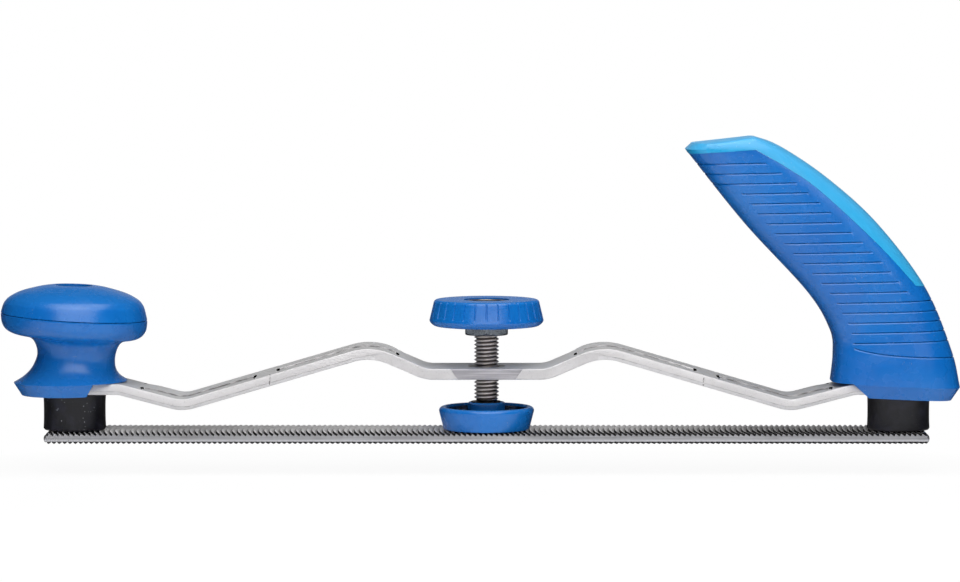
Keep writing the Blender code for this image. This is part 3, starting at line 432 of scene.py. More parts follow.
def spline(points, steps):
    """A smooth curve through points, with its ends repeated."""
    padded = [Vector(point) for point in (points[0], *points, points[-1])]
    curve = []
    for a, b, c, d in zip(padded, padded[1:], padded[2:], padded[3:]):
        for step in range(steps):
            t = step / steps
            curl = (2 * a - 5 * b + 4 * c - d) * t**2 + (3 * b - a - 3 * c + d) * t**3
            curve.append(0.5 * (2 * b + (c - a) * t + curl))
    return [*curve, padded[-1]]


def across(curve, z):
    """The x of a rising curve of (x, z) points at height z."""
    for low, high in zip(curve, curve[1:]):
        if z <= high.y:
            break
    share = (z - low.y) / (high.y - low.y)
    return low.x + share * (high.x - low.x)


def ease(value, start=0.0, end=1.0):
    """Smooth step from 0 at start to 1 at end."""
    share = min(max((value - start) / (end - start), 0.0), 1.0)
    return share * share * (3 - 2 * share)


def round_corner(inner, outer, steps=6):
    """A quarter round between two (radius, z) points, leaving the first upright."""
    points = []
    for step in range(steps + 1):
        angle = math.pi / 2 * step / steps
        radius = inner[0] + (outer[0] - inner[0]) * (1 - math.cos(angle))
        points.append((radius, inner[1] + (outer[1] - inner[1]) * math.sin(angle)))
    return points


def add_object(name, data):
    """A new object in the scene."""
    item = bpy.data.objects.new(name, data)
    bpy.context.collection.objects.link(item)
    return item


def as_object(name, mesh):
    """An object from a bmesh."""
    data = bpy.data.meshes.new(name)
    mesh.to_mesh(data)
    mesh.free()
    return add_object(name, data)


def carve(mesh, *cuts, within=None, join=None):
    """Keeps what lies within one shape, cuts others away and joins one more."""
    steps = [("INTERSECT", within), *(("DIFFERENCE", shape) for shape in cuts), ("UNION", join)]
    items = [as_object("stock", mesh)]
    for operation, shape in steps:
        if shape is not None:
            items.append(as_object("tool", shape))
            step = items[0].modifiers.new(operation, "BOOLEAN")
            step.operation = operation
            step.solver = "EXACT"
            step.object = items[-1]
    graph = bpy.context.evaluated_depsgraph_get()
    result = bmesh.new()
    result.from_mesh(items[0].evaluated_get(graph).data)
    bmesh.ops.dissolve_degenerate(result, dist=TINY, edges=result.edges)
    for item in items:
        bpy.data.objects.remove(item, do_unlink=True)
    return result


def show(name, mesh, materials, sharp):
    """A shown object with smooth rounds and crisp edges."""
    item = as_object(name, mesh)
    item.data.shade_smooth()
    item.data.set_sharp_from_angle(angle=math.radians(sharp))
    for material in materials:
        item.data.materials.append(material)
    return item


def piece(name, mesh, body, slot, material, *nodes, sharp=35):
    """A shown piece that rides on a body and stands for CAD nodes."""
    item = show(name, mesh, [material], sharp)
    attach(item, body)
    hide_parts(*nodes)
    return item


def places(item):
    """The vertices' x from the spindle, y and z."""
    return (np.array([vertex.co for vertex in item.data.vertices]) - (SPINDLE_X, 0.0, 0.0)).T


def set_shares(item, name, shares):
    """Stores one number for each vertex."""
    found = item.data.attributes.get(name) or item.data.attributes.new(name, "FLOAT", "POINT")
    found.data.foreach_set("value", np.asarray(shares, np.float32))


class Nodes:
    """A node tree and short ways to add to it."""

    def __init__(self, tree):
        self.tree = tree

    def put(self, socket, value):
        """Sets a socket, or links another to it."""
        if isinstance(value, bpy.types.NodeSocket):
            self.tree.links.new(value, socket)
        else:
            socket.default_value = value

    def node(self, kind, *values, **named):
        """A node with its first sockets set in order, and others by name."""
        made = self.tree.nodes.new(kind)
        for socket, value in [*zip(made.inputs, values), *((made.inputs[key], named[key]) for key in named)]:
            self.put(socket, value)
        return made

    def axes(self, vector):
        """A vector's X, Y and Z."""
        return self.node("ShaderNodeSeparateXYZ", vector).outputs

    def ramp(self, value, start, end, low=0.0, high=1.0, kind="SMOOTHSTEP"):
        """Maps start to end onto low to high."""
        made = self.node("ShaderNodeMapRange", value, start, end, low, high)
        made.interpolation_type = kind
        return made.outputs["Result"]

    def math(self, operation, *values):
        """Arithmetic on one or two values."""
        made = self.node("ShaderNodeMath", *values)
        made.operation = operation
        return made.outputs["Value"]

    def times(self, first, second):
        """A product."""
        return self.math("MULTIPLY", first, second)

    def show_camera(self, output, plain, seen, share=None):
        """Mixes two shaders so that rays from the camera see the second one, or a share of it."""
        amount = self.node("ShaderNodeLightPath").outputs["Is Camera Ray"]
        if share:
            amount = self.times(amount, share)
        mixed = self.node("ShaderNodeMixShader", amount, plain, seen).outputs["Shader"]
        self.put(self.tree.nodes[output].inputs["Surface"], mixed)


class Skin(Nodes):
    """A Principled material, painted in layers."""

    def __init__(self, name, roughness, metallic=0.0, specular=0.5):
        self.material = bpy.data.materials.new(name)
        self.material.use_nodes = True
        super().__init__(self.material.node_tree)
        self.shader = self.tree.nodes["Principled BSDF"]
        self.shader.inputs["Roughness"].default_value = roughness
        self.shader.inputs["Metallic"].default_value = metallic
        self.shader.inputs["Specular IOR Level"].default_value = specular
        self.place = self.node("ShaderNodeTexCoord").outputs["Object"]

    def noise(self, scale, detail, stretch=(1.0, 1.0, 1.0)):
        """Noise over the object, stretched along its axes."""
        place = self.node("ShaderNodeMapping", Vector=self.place, Scale=stretch).outputs["Vector"]
        return self.node("ShaderNodeTexNoise", Vector=place, Scale=scale, Detail=detail).outputs["Fac"]

    def patches(self, scale, detail, *limits):
        """Noise put through a ramp."""
        return self.ramp(self.noise(scale, detail), *limits)

    def facing_up(self):
        """The upward part of the surface's normal."""
        return self.axes(self.node("ShaderNodeNewGeometry").outputs["Normal"])["Z"]

    def attribute(self, name):
        """A number stored on the vertices."""
        made = self.node("ShaderNodeAttribute")
        made.attribute_name = name
        return made.outputs["Fac"]

    def mix(self, share, first, second):
        """Mixes two colours."""
        made = self.node("ShaderNodeMix", share)
        made.data_type = "RGBA"
        for socket, colour in ((made.inputs[6], first), (made.inputs[7], second)):
            self.put(socket, (*colour, 1.0) if isinstance(colour, tuple) else colour)
        return made.outputs[2]

    def base(self, share, first, second):
        """Starts with a mix of two colours."""
        self.colour = self.mix(share, first, second)

    def tint(self, share, colour):
        """Paints a share of a colour over what is there."""
        self.colour = self.mix(share, self.colour, colour)

    def finish(self, roughness, *layers):
        """The material with its colour, roughness and bump layers of (height, depth in metres)."""
        normal = None
        for height, depth in layers:
            made = self.node("ShaderNodeBump", Height=height, Distance=depth)
            if normal:
                self.put(made.inputs["Normal"], normal)
            normal = made.outputs["Normal"]
        for name, value in (("Base Color", self.colour), ("Roughness", roughness), ("Normal", normal)):
            self.put(self.shader.inputs[name], value)
        return self.material


def plastic(name, deep, pale, dust_and_top_light, speck, roughness):
    """Moulded plastic: flow marks, a fine grain, dust and painted top light where it faces up, specks,
    painted shade and dirt in the grooves, and painted shade and grease inside the foot's cup.
    """
    skin = Skin(name, roughness)
    skin.base(skin.patches(38, 3, 0.35, 0.65), deep, pale)
    # Faces turned up are tinted lighter: dust, and painted top light.
    skin.tint(skin.ramp(skin.facing_up(), 0.1, 1.0), dust_and_top_light)
    dust = skin.patches(1700, 0, 0.775, 0.83, 0.0, 0.55)
    skin.tint(skin.times(dust, skin.patches(90, 1, 0.55, 0.65)), speck)
    # Painted shade and dirt darken the floors of the handle's grooves.
    crease_shade_and_dirt = skin.ramp(skin.attribute("crease_shade_and_dirt"), 0.35, 1.0, 0.0, 0.55)
    skin.tint(crease_shade_and_dirt, tuple(0.35 * share for share in deep))
    # Painted shade and grease darken the inside of the foot's cup.
    shade_and_grease = skin.patches(300, 3, 0.30, 0.60, 0.80, 0.97)
    skin.tint(skin.times(skin.attribute("shade_and_grease"), shade_and_grease), (0.002, 0.003, 0.008))
    rough = skin.patches(160, 4, 0.3, 0.7, roughness - 0.05, roughness + 0.06)
    return skin.finish(rough, (skin.noise(3200, 2), 0.00003), (skin.noise(260, 1), 0.00006))


def black_rubber(name, dustiness):
    """Moulded rubber with a dry bloom, scuffs and white dust."""
    skin = Skin(name, 0.62, specular=0.38)
    bloom = skin.patches(120, 4, 0.45, 0.75)
    skin.base(bloom, (0.006, 0.006, 0.009), (0.022, 0.022, 0.036))
    dust = skin.patches(1350, 0, 0.72, 0.80, 0.0, dustiness)
    skin.tint(skin.times(dust, skin.patches(170, 1, 0.50, 0.62)), (0.30, 0.31, 0.34))
    rough = skin.ramp(bloom, 0.0, 1.0, 0.34, 0.56)
    return skin.finish(rough, (skin.noise(1500, 3), 0.00005), (skin.noise(220, 2), 0.0001))


def cast_aluminium():
    """Cast aluminium: fine grain, painted light on faces turned down and painted shade on faces turned up,
    dark specks, painted shade and dirt in the rebates, a ground flat at the middle and witness marks.
    """
    skin = Skin("cast_aluminium", 0.48, 0.45)
    skin.base(skin.patches(55, 4, 0.3, 0.7), (0.585, 0.572, 0.580), (0.665, 0.652, 0.660))
    up = skin.facing_up()
    # Painted light makes faces turned down lighter; painted shade gives faces turned up a slightly darker
    # grey.
    skin.tint(skin.ramp(up, -0.15, -0.45), (0.74, 0.73, 0.74))
    skin.tint(skin.ramp(up, 0.4, 0.85), (0.60, 0.596, 0.596))
    skin.tint(skin.patches(1700, 1, 0.60, 0.72, 0.0, 0.3), (0.36, 0.355, 0.355))

    x, y, z = skin.axes(skin.place)
    side = STRAP_WIDTH / 2 - STRAP_TAPER
    face = skin.ramp(skin.math("ABSOLUTE", y), side - STRAP_TAPER, side)
    apart = skin.math("ABSOLUTE", skin.math("SUBTRACT", x, SPINDLE_X))
    above = skin.math("SUBTRACT", z, STRAP_Z - STRAP_THICKNESS)
    limit = skin.math("ADD", skin.times(above, GROUND_SLOPE), GROUND_REACH)
    ground = skin.ramp(skin.math("SUBTRACT", limit, apart), -GROUND_EDGE, GROUND_EDGE)
    ground = skin.times(ground, face)
    scratch = skin.ramp(skin.noise(420, 4, (0.12, 1.0, 3.0)), 0.4, 0.65)
    skin.tint(ground, skin.mix(scratch, (0.34, 0.33, 0.355), (0.50, 0.485, 0.515)))

    wander = skin.times(skin.math("SUBTRACT", skin.noise(900, 2), 0.5), WITNESS_WANDER)
    away = skin.math("ADD", skin.math("SUBTRACT", apart, WITNESS_REACH), wander)
    near = skin.ramp(skin.math("ABSOLUTE", away), *WITNESS_EDGE)
    broken = skin.ramp(skin.noise(1400, 1, (0.1, 1.0, 1.0)), 0.42, 0.52)
    line = skin.times(skin.times(near, face), broken)
    skin.tint(skin.times(line, 0.85), (0.10, 0.095, 0.095))

    # Painted shade and dirt darken the rebates' corners and the parting step.
    crease_shade_and_dirt = skin.patches(260, 3, 0.35, 0.65, 0.40, 0.95)
    skin.tint(skin.times(skin.attribute("crease_shade_and_dirt"), crease_shade_and_dirt), (0.035, 0.033, 0.032))
    hollow = skin.times(skin.math("ADD", ground, line), -1.0)
    layers = ((skin.noise(1900, 3), 0.00006), (skin.noise(330, 2), 0.00010), (hollow, 0.0002))
    return skin.finish(skin.patches(480, 3, 0.3, 0.7, 0.42, 0.56), *layers)


def tooth_steel():
    """Milled teeth: bright tips, darker towards the gullets."""
    skin = Skin("tooth_steel", 0.40, 0.1)
    depth = skin.math("ADD", skin.attribute("gullet"), skin.times(skin.noise(900, 2), 0.16))
    skin.base(skin.patches(260, 3, 0.35, 0.65), (0.75, 0.74, 0.74), (0.85, 0.84, 0.84))
    skin.tint(skin.ramp(depth, 0.70, 1.1), (0.36, 0.355, 0.355))
    grain = skin.noise(1600, 2, (1.0, 0.15, 1.0))
    return skin.finish(skin.ramp(depth, 0.2, 0.9, 0.32, 0.60), (grain, 0.00003))


def edge_steel():
    """Ground edges of the blade: lengthwise scratches, a painted highlight along the lower part and painted
    shade on the tooth ends beneath it.
    """
    skin = Skin("edge_steel", 0.34, 1.0)
    scratch = skin.noise(700, 4, (0.06, 1.0, 2.5))
    skin.base(skin.ramp(scratch, 0.35, 0.70), (0.315, 0.315, 0.33), (0.445, 0.445, 0.465))
    skin.tint(skin.times(skin.patches(75, 3, 0.58, 0.72), 0.4), (0.22, 0.215, 0.21))
    height = skin.axes(skin.place)["Z"]
    # Painted highlight: a lighter band along the lower part of the edge.
    skin.tint(skin.ramp(height, 2.2 * TOOTH_DEPTH, 1.5 * TOOTH_DEPTH), (0.54, 0.54, 0.565))
    # Painted shade: the tooth ends at the bottom are nearly black.
    skin.tint(skin.ramp(height, 1.1 * TOOTH_DEPTH, 0.8 * TOOTH_DEPTH), (0.045, 0.044, 0.046))
    return skin.finish(skin.ramp(scratch, 0.3, 0.7, 0.30, 0.46), (scratch, 0.00003))


def thread_steel():
    """Rolled thread: brownish steel, with painted shade darkening the root."""
    skin = Skin("thread_steel", 0.34, 1.0)
    skin.base(skin.patches(240, 3, 0.35, 0.65), (0.72, 0.675, 0.66), (0.90, 0.85, 0.835))
    # Painted shade darkens the thread's root.
    skin.tint(skin.ramp(skin.attribute("root"), 0.3, 1.0), (0.120, 0.104, 0.095))
    return skin.finish(skin.patches(900, 3, 0.3, 0.7, 0.28, 0.44), (skin.noise(1800, 2), 0.00003))


def painted_shade(name, dark, light, gloss):
    """A dull near-black painted shade, put on the strap's slots and on the teeth's forward faces."""
    roughness = 0.9
    skin = Skin(name, roughness, specular=gloss)
    skin.base(skin.patches(700, 3, 0.3, 0.7), dark, light)
    return skin.finish(roughness, (skin.noise(1700, 3), 0.00005))


def metal(name, dark, light, roughness):
    """A plain metal with stains and fine scratches."""
    skin = Skin(name, roughness, 1.0)
    skin.base(skin.patches(260, 4, 0.3, 0.7), dark, light)
    rough = skin.patches(900, 3, 0.3, 0.7, roughness - 0.06, roughness + 0.08)
    return skin.finish(rough, (skin.noise(2100, 3), 0.00003))


BLUE = plastic(
    "blue_plastic",
    deep=(0.0022, 0.122, 0.455),
    pale=(0.0040, 0.148, 0.505),
    dust_and_top_light=(0.010, 0.155, 0.500),
    speck=(0.30, 0.38, 0.50),
    roughness=0.26,
)
LIGHT_BLUE = plastic(
    "light_blue_plastic",
    deep=(0.008, 0.325, 0.640),
    pale=(0.016, 0.365, 0.690),
    dust_and_top_light=(0.085, 0.440, 0.790),
    speck=(0.55, 0.70, 0.80),
    roughness=0.32,
)
DUSTY_RUBBER = black_rubber("dusty_rubber", 0.9)
CLEAN_RUBBER = black_rubber("clean_rubber", 0.04)
ALUMINIUM = cast_aluminium()
TOOTH_STEEL = tooth_steel()
EDGE_STEEL = edge_steel()
# Near-black painted shade: in the strap's slots, and on the teeth's forward faces
PIT_SHADE = painted_shade("painted_shade", (0.004, 0.0036, 0.0038), (0.014, 0.013, 0.0135), 0.05)
TOOTH_SHADE = painted_shade("tooth_shade", (0.009, 0.0087, 0.009), (0.028, 0.027, 0.028), 0.1)
THREAD_STEEL = thread_steel()
ZINC = metal("zinc_plate", (0.120, 0.139, 0.160), (0.205, 0.230, 0.258), 0.26)
BROWN_STEEL = metal("spindle_steel", (0.20, 0.175, 0.155), (0.36, 0.33, 0.30), 0.38)
BLACK_STEEL = metal("black_steel", (0.018, 0.018, 0.020), (0.045, 0.045, 0.050), 0.42)
BRASS = metal("brass", (0.50, 0.34, 0.12), (0.68, 0.50, 0.22), 0.34)


def tooth_row(face_z, inward, count):
    """Points along one toothed face at the blade's middle."""
    return [
        (tooth * TOOTH_PITCH + run, face_z + inward * share * TOOTH_DEPTH)
        for tooth in range(-count, count)
        for run, share in TOOTH_LINE
    ]


def blade_stock():
    """A strip longer and wider than the blade, milled with curved teeth on both faces."""
    half = BLADE_WIDTH / 2 + BLADE_CORNER
    bow = TOOTH_ARC_RADIUS - math.sqrt(TOOTH_ARC_RADIUS**2 - half**2)
    count = math.ceil((BLADE_LENGTH / 2 + bow) / TOOTH_PITCH) + 1
    outline = tooth_row(0.0, 1, count) + tooth_row(BLADE_THICKNESS, -1, count)[::-1]
    rings = []
    for station in range(TOOTH_STATIONS + 1):
        y = half * (2 * station / TOOTH_STATIONS - 1)
        shift = SPINDLE_X + TOOTH_ARC_RADIUS - math.sqrt(TOOTH_ARC_RADIUS**2 - y**2)
        rings.append([(x + shift, y, z) for x, z in outline])
    return loft(rings)


def blade_outline():
    """The blade's plan with eased corners and rounded ends, a little taller than the teeth."""
    half_height = BLADE_THICKNESS / 2 + BLADE_END_CROWN
    corner = []
    for swing in map(math.radians, BLADE_CORNER_DEGREES):
        inset = BLADE_CORNER * (1 - math.sin(swing))
        corner.append((BLADE_WIDTH / 2 - BLADE_CORNER * (1 - math.cos(swing)), inset))
    rings = []
    for y, inset in [*((-y, inset) for y, inset in corner), *reversed(corner)]:
        reach = BLADE_LENGTH / 2 - inset - half_height
        ring = []
        for end, start in ((1, -math.pi / 2), (-1, math.pi / 2)):
            for step in range(BLADE_END_STEPS + 1):
                angle = start + math.pi * step / BLADE_END_STEPS
                x = SPINDLE_X + end * reach + half_height * math.cos(angle)
                ring.append((x, y, BLADE_THICKNESS / 2 + half_height * math.sin(angle)))
        rings.append(ring)
    return loft(rings)


def countersink(x):
    """The space of a countersunk head and its shank, from below."""
    head = SCREW_HEAD_RADIUS + FIT
    profile = (
        (head, -BLADE_THICKNESS),
        (head, SCREW_HEAD_SINK),
        (SCREW_HOLE, SCREW_HEAD_SINK + head - SCREW_HOLE),
        (SCREW_HOLE, 2 * BLADE_THICKNESS),
    )
    return turned(profile, SMALL_SIDES, x)


def build_blade():
    """The flexible blade: its ends stay with the holder and its middle follows the foot."""
    holes = [countersink(x) for x in (FRONT_X, SPINDLE_X, REAR_X)]
    mesh = carve(blade_stock(), *holes, within=blade_outline())
    # Ground edges take the edge steel; tooth faces turned forward take the near-black painted shade.
    for face in mesh.faces:
        apart = abs(face.calc_center_median().x - SPINDLE_X)
        if abs(face.normal.y) > EDGE_FACING or apart > BLADE_LENGTH / 2 - BLADE_CORNER:
            face.material_index = 1
        elif face.normal.x < -TOOTH_FACING:
            face.material_index = 2
    blade = show("file_blade_teeth", mesh, [TOOTH_STEEL, EDGE_STEEL, TOOTH_SHADE], 25)
    xs, _, heights = places(blade)
    buried = np.minimum(heights, BLADE_THICKNESS - heights) / TOOTH_DEPTH
    set_shares(blade, "gullet", np.clip(buried, 0, 1))
    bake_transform(blade, "holder", "foot", start=(FRONT_X, 0, 0), end=(SPINDLE_X, 0, 0))
    set_shares(blade, "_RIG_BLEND", [ease(1 - abs(x) / HOLE_REACH) for x in xs])
    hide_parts("file_blade")


def build_screw(name, node, body):
    """A countersunk screw with a hexagon socket, its head sunk in the blade's underside."""
    x = axis_of(node)
    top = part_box(node)[1].z
    profile = (
        (SCREW_HEAD_RADIUS - SCREW_TIP / 4, SCREW_HEAD_SINK),
        (SCREW_HEAD_RADIUS, SCREW_HEAD_SINK + SCREW_TIP / 4),
        (SCREW_RADIUS, SCREW_HEAD_SINK + SCREW_HEAD_RADIUS - SCREW_RADIUS),
        (SCREW_RADIUS, top - SCREW_TIP),
        (SCREW_RADIUS - SCREW_TIP, top),
    )
    corner = SCREW_KEY / math.sqrt(3)
    key = turned(((corner, -SCREW_KEY_DEPTH), (corner, SCREW_HEAD_SINK + SCREW_KEY_DEPTH)), 6, x)
    piece(name, carve(turned(profile, SMALL_SIDES, x), key), body, "black_steel", BLACK_STEEL, node)


def build_buffer(name, node, rubber):
    """A rubber buffer, drawn in at its waist, with soft edges."""
    tall = BUFFER_TOP - BUFFER_Z
    profile = [(SCREW_HOLE, BUFFER_Z)]
    for step in range(BUFFER_STEPS + 1):
        share = step / BUFFER_STEPS
        radius = BUFFER_RADIUS - BUFFER_WAIST * (1 - abs(2 * share - 1) ** BUFFER_FLARE)
        from_end = min(share, 1 - share) * tall / BUFFER_EDGE
        if from_end < 1:
            radius -= BUFFER_EDGE * (1 - math.sqrt(1 - (1 - from_end) ** 2))
        profile.append((radius, BUFFER_Z + share * tall))
    profile.append((SCREW_HOLE, BUFFER_TOP))
    mesh = turned(profile, x=axis_of(node), hollow=True)
    piece(name, mesh, "holder", "black_rubber", rubber, node)


def bend(before, corner, after, radius):
    """Points round a filleted corner, each with the direction of the path there."""
    corner = Vector(corner)
    arriving = (corner - Vector(before)).normalized()
    leaving = (Vector(after) - corner).normalized()
    turn = arriving.angle_signed(leaving)
    start = corner - abs(radius * math.tan(turn / 2)) * arriving
    points = []
    for step in range(STRAP_BEND_STEPS + 1):
        swept = turn * step / STRAP_BEND_STEPS
        along = Matrix.Rotation(-swept, 2) @ arriving
        toward = Matrix.Rotation(-swept / 2, 2) @ arriving
        points.append((start + 2 * radius * math.sin(abs(swept) / 2) * toward, along))
    return points


def strap_line():
    """Half of the strap's top line as (point, direction), from the first bend to the last."""
    corners = (
        ((STRAP_CENTRE_X, STRAP_Z), STRAP_BEND_RADIUS),
        ((STRAP_PEAK[0], STRAP_Z + STRAP_PEAK[1]), STRAP_PEAK_RADIUS),
        ((STRAP_BEND[0], PAD_Z + STRAP_BEND[1]), STRAP_BEND_RADIUS),
        ((HOLE_REACH - STRAP_PAD_REACH, PAD_Z), STRAP_BEND_RADIUS),
    )
    ends = [(0.0, STRAP_Z), *(point for point, _ in corners), (HOLE_REACH, PAD_Z)]
    line = []
    for before, (point, radius), after in zip(ends, corners, ends[2:]):
        line.extend(bend(before, point, after, radius))
    return line


def with_rebates(line):
    """Adds stations where the section changes; each gets its share of the rebate and half width."""
    marks = []
    for start, end in STRAP_REBATES:
        marks.extend((start, start + STRAP_REBATE_SLOPE, end - STRAP_REBATE_SLOPE, end))
    for limits in (STRAP_RISE_START, STRAP_RIDGE_RUN, STRAP_RISE_END):
        marks.extend(np.linspace(*limits, STRAP_BLEND_STEPS))
    for reach in marks:
        for index, ((low, along), (high, after)) in enumerate(zip(line, line[1:])):
            if low.x + STRAP_STATION_GAP < reach < high.x - STRAP_STATION_GAP:
                share = (reach - low.x) / (high.x - low.x)
                line.insert(index + 1, (low.lerp(high, share), along.lerp(after, share).normalized()))
                break
    stations = []
    for point, along in line:
        insides = [min(point.x - start, end - point.x) for start, end in STRAP_REBATES]
        rebate = min(max(max(insides) / STRAP_REBATE_SLOPE, 0.0), 1.0)
        stations.append((point, along, rebate, STRAP_WIDTH / 2))
    return stations


def strap_section(point, along, rebate, half):
    """One section as (place, painted shade and dirt share): a raised middle, a small wall to each shoulder,
    and parting lines.
    """
    down = Vector((along.y, -along.x))
    edge = STRAP_ROUND
    step = STRAP_RIDGE_STEP
    full = STRAP_WIDTH / 2
    flank = STRAP_PLATEAU
    apart = abs(point.x)
    rise = STRAP_RISE * ease(apart, *STRAP_RISE_START) * ease(apart, *reversed(STRAP_RISE_END))
    wall = rebate * STRAP_REBATE_DEPTH
    run = ease(apart, *STRAP_RIDGE_RUN)
    ridge = STRAP_RIDGE[0] + (STRAP_RIDGE[1] - STRAP_RIDGE[0]) * run
    # The third numbers are painted shade and dirt: at the rebate's corner and under the parting step.
    right = [
        (flank - edge, -rise, 0.0),
        (flank, -rise, 0.7 * rebate),
        (flank + 0.3 * edge, wall - rise, rebate),
        (flank + 2 * edge, 0.9 * (wall - rise), 0.1 * rebate),
        (full - edge, 0.0, 0.0),
        (full - 0.3 * edge, 0.3 * edge, 0.0),
        (full, edge, 0.0),
        (full, ridge - step, 0.0),
        (full - step, ridge, 0.75 * run),
        (full - 1.2 * step, ridge + step, 0.2 * run),
        (full - STRAP_TAPER, STRAP_THICKNESS - edge, 0.0),
        (full - STRAP_TAPER - edge, STRAP_THICKNESS, 0.0),
    ]
    ring = []
    for y, sunk, crease_shade_and_dirt in [*right, *((-y, sunk, crease_shade_and_dirt) for y, sunk, crease_shade_and_dirt in reversed(right))]:
        place = point + sunk * down
        ring.append(((SPINDLE_X + place.x, y * half / full, place.y), crease_shade_and_dirt))
    return ring


def pit_places(stations):
    """Places of the small slots at the ends of the rebates."""
    xs = [point.x for point, *_ in stations]
    heights = [point.y for point, *_ in stations]
    y = STRAP_PLATEAU + STRAP_PIT_LENGTH / 4
    found = []
    for reach in (end for rebate in STRAP_REBATES for end in rebate):
        z = float(np.interp(reach, xs, heights))
        for x in (SPINDLE_X - reach, SPINDLE_X + reach):
            found += [Vector((x, -y, z)), Vector((x, y, z))]
    return found


def strap_pits(pits):
    """Upright pins, longer across the strap, that cut the slots."""
    mesh = bmesh.new()
    stretch = Matrix.Scale(STRAP_PIT_LENGTH / (2 * STRAP_PIT_RADIUS), 4, (0.0, 1.0, 0.0))
    for place in pits:
        bmesh.ops.create_cone(
            mesh,
            cap_ends=True,
            segments=STRAP_PIT_SIDES,
            radius1=STRAP_PIT_RADIUS,
            radius2=STRAP_PIT_RADIUS,
            depth=2 * STRAP_PIT_DEPTH,
            matrix=Matrix.Translation(place) @ stretch,
        )
    return mesh


def blacken(mesh, pits):
    """Gives the slots the second material, a near-black painted shade."""
    for face in mesh.faces:
        for place in pits:
            x, y, z = face.calc_center_median() - place
            apart = math.hypot(x / STRAP_PIT_RADIUS, 2 * y / STRAP_PIT_LENGTH)
            if max(apart, abs(z) / STRAP_PIT_DEPTH) < STRAP_PIT_REACH:
                face.material_index = 1


def build_strap():
    """The cast strap, the same on both sides of the spindle."""
    half = with_rebates(strap_line())
    pits = pit_places(half)
    reach = STRAP_WIDTH / 2
    for angle in map(math.radians, STRAP_END_DEGREES):
        point = Vector((HOLE_REACH + reach * math.sin(angle), PAD_Z))
        half.append((point, Vector((1.0, 0.0)), 0.0, reach * math.cos(angle)))
    other = []
    for point, along, rebate, width in reversed(half):
        other.append((Vector((-point.x, point.y)), Vector((along.x, -along.y)), rebate, width))
    mesh = loft_with_shade_and_dirt([strap_section(*station) for station in [*other, *half]])
    bmesh.ops.triangulate(mesh, faces=mesh.faces)
    bush = rod((BUSH_HIGH.x - BUSH_LOW.x) / 2 + SEAT, 0.0, 2 * STRAP_Z)
    holes = [rod(SCREW_HOLE, 0.0, 2 * PAD_Z, SMALL_SIDES, x) for x in (FRONT_X, REAR_X)]
    mesh = carve(mesh, bush, strap_pits(pits), *holes)
    blacken(mesh, pits)
    strap = piece("strap", mesh, "holder", "cast_aluminium", ALUMINIUM, "frame_strap", sharp=28)
    # The second material: near-black painted shade in the slots.
    strap.data.materials.append(PIT_SHADE)


def thread_stock(bottom, turns):
    """A right-hand thread as one helical strip with a point at each end on the axis."""
    root = THREAD_RADIUS - THREAD_DEPTH
    flank = (THREAD_PITCH - THREAD_CREST - THREAD_ROOT) / 2
    profile = (
        (root, 0.0),
        (THREAD_RADIUS, flank),
        (THREAD_RADIUS, flank + THREAD_CREST),
        (root, THREAD_PITCH - THREAD_ROOT),
    )
    mesh = bmesh.new()
    last = turns * THREAD_SIDES
    rows = []
    for step in range(last + 1):
        angle = 2 * math.pi * step / THREAD_SIDES
        rise = bottom + THREAD_PITCH * step / THREAD_SIDES
        row = []
        for radius, z in profile:
            place = (SPINDLE_X + radius * math.cos(angle), radius * math.sin(angle), rise + z)
            row.append(mesh.verts.new(place))
        rows.append(row)
    joined = [row + above[:1] for row, above in zip(rows, rows[THREAD_SIDES:])]
    strips = joined + rows[len(joined) :]
    for here, after in zip(strips, strips[1:]):
        for corners in zip(here, after, after[1:], here[1:]):
            mesh.faces.new(corners)
    low = [row[0] for row in rows[: THREAD_SIDES + 1]] + rows[0][:0:-1]
    high = [row[3] for row in rows[last - THREAD_SIDES :]] + rows[last][2::-1]
    for loop, z in ((low, bottom - THREAD_PITCH), (high, bottom + (turns + 2) * THREAD_PITCH)):
        tip = mesh.verts.new((SPINDLE_X, 0.0, z))
        for first, second in zip(loop, loop[1:] + loop[:1]):
            mesh.faces.new((first, second, tip))
    bmesh.ops.recalc_face_normals(mesh, faces=mesh.faces)
    return mesh


def build_spindle():
    """The threaded spindle with its neck and button; the thread is in step with the bush."""
    core = THREAD_RADIUS - THREAD_DEPTH - SEAT
    full = THREAD_RADIUS + FIT
    slope = full - core
    bottom = RING_TOP + SEAT
    start = bottom - THREAD_PITCH
    turns = math.ceil((SPINDLE_TOP - start) / THREAD_PITCH) + 1
    limits = barrel(core, full, bottom, SPINDLE_TOP, slope)
    tail = (
        (BUTTON_RADIUS - BUTTON_CHAMFER, SPINDLE_Z),
        (BUTTON_RADIUS, SPINDLE_Z + BUTTON_CHAMFER),
        (BUTTON_RADIUS, SPINDLE_Z + BUTTON_HEIGHT),
        (NECK_RADIUS, SPINDLE_Z + BUTTON_HEIGHT),
        (NECK_RADIUS, bottom + slope),
    )
    thread = thread_stock(start, turns)
    mesh = carve(thread, within=turned(limits, phase=0.5), join=turned(tail, SMALL_SIDES))
    spindle = piece("spindle_thread", mesh, "spindle", "spindle_steel", THREAD_STEEL, "spindle", sharp=40)
    # Each vertex's depth into the root, for the thread's painted shade.
    x, y, _ = places(spindle)
    set_shares(spindle, "root", np.clip((THREAD_RADIUS - np.hypot(x, y)) / THREAD_DEPTH, 0, 1))


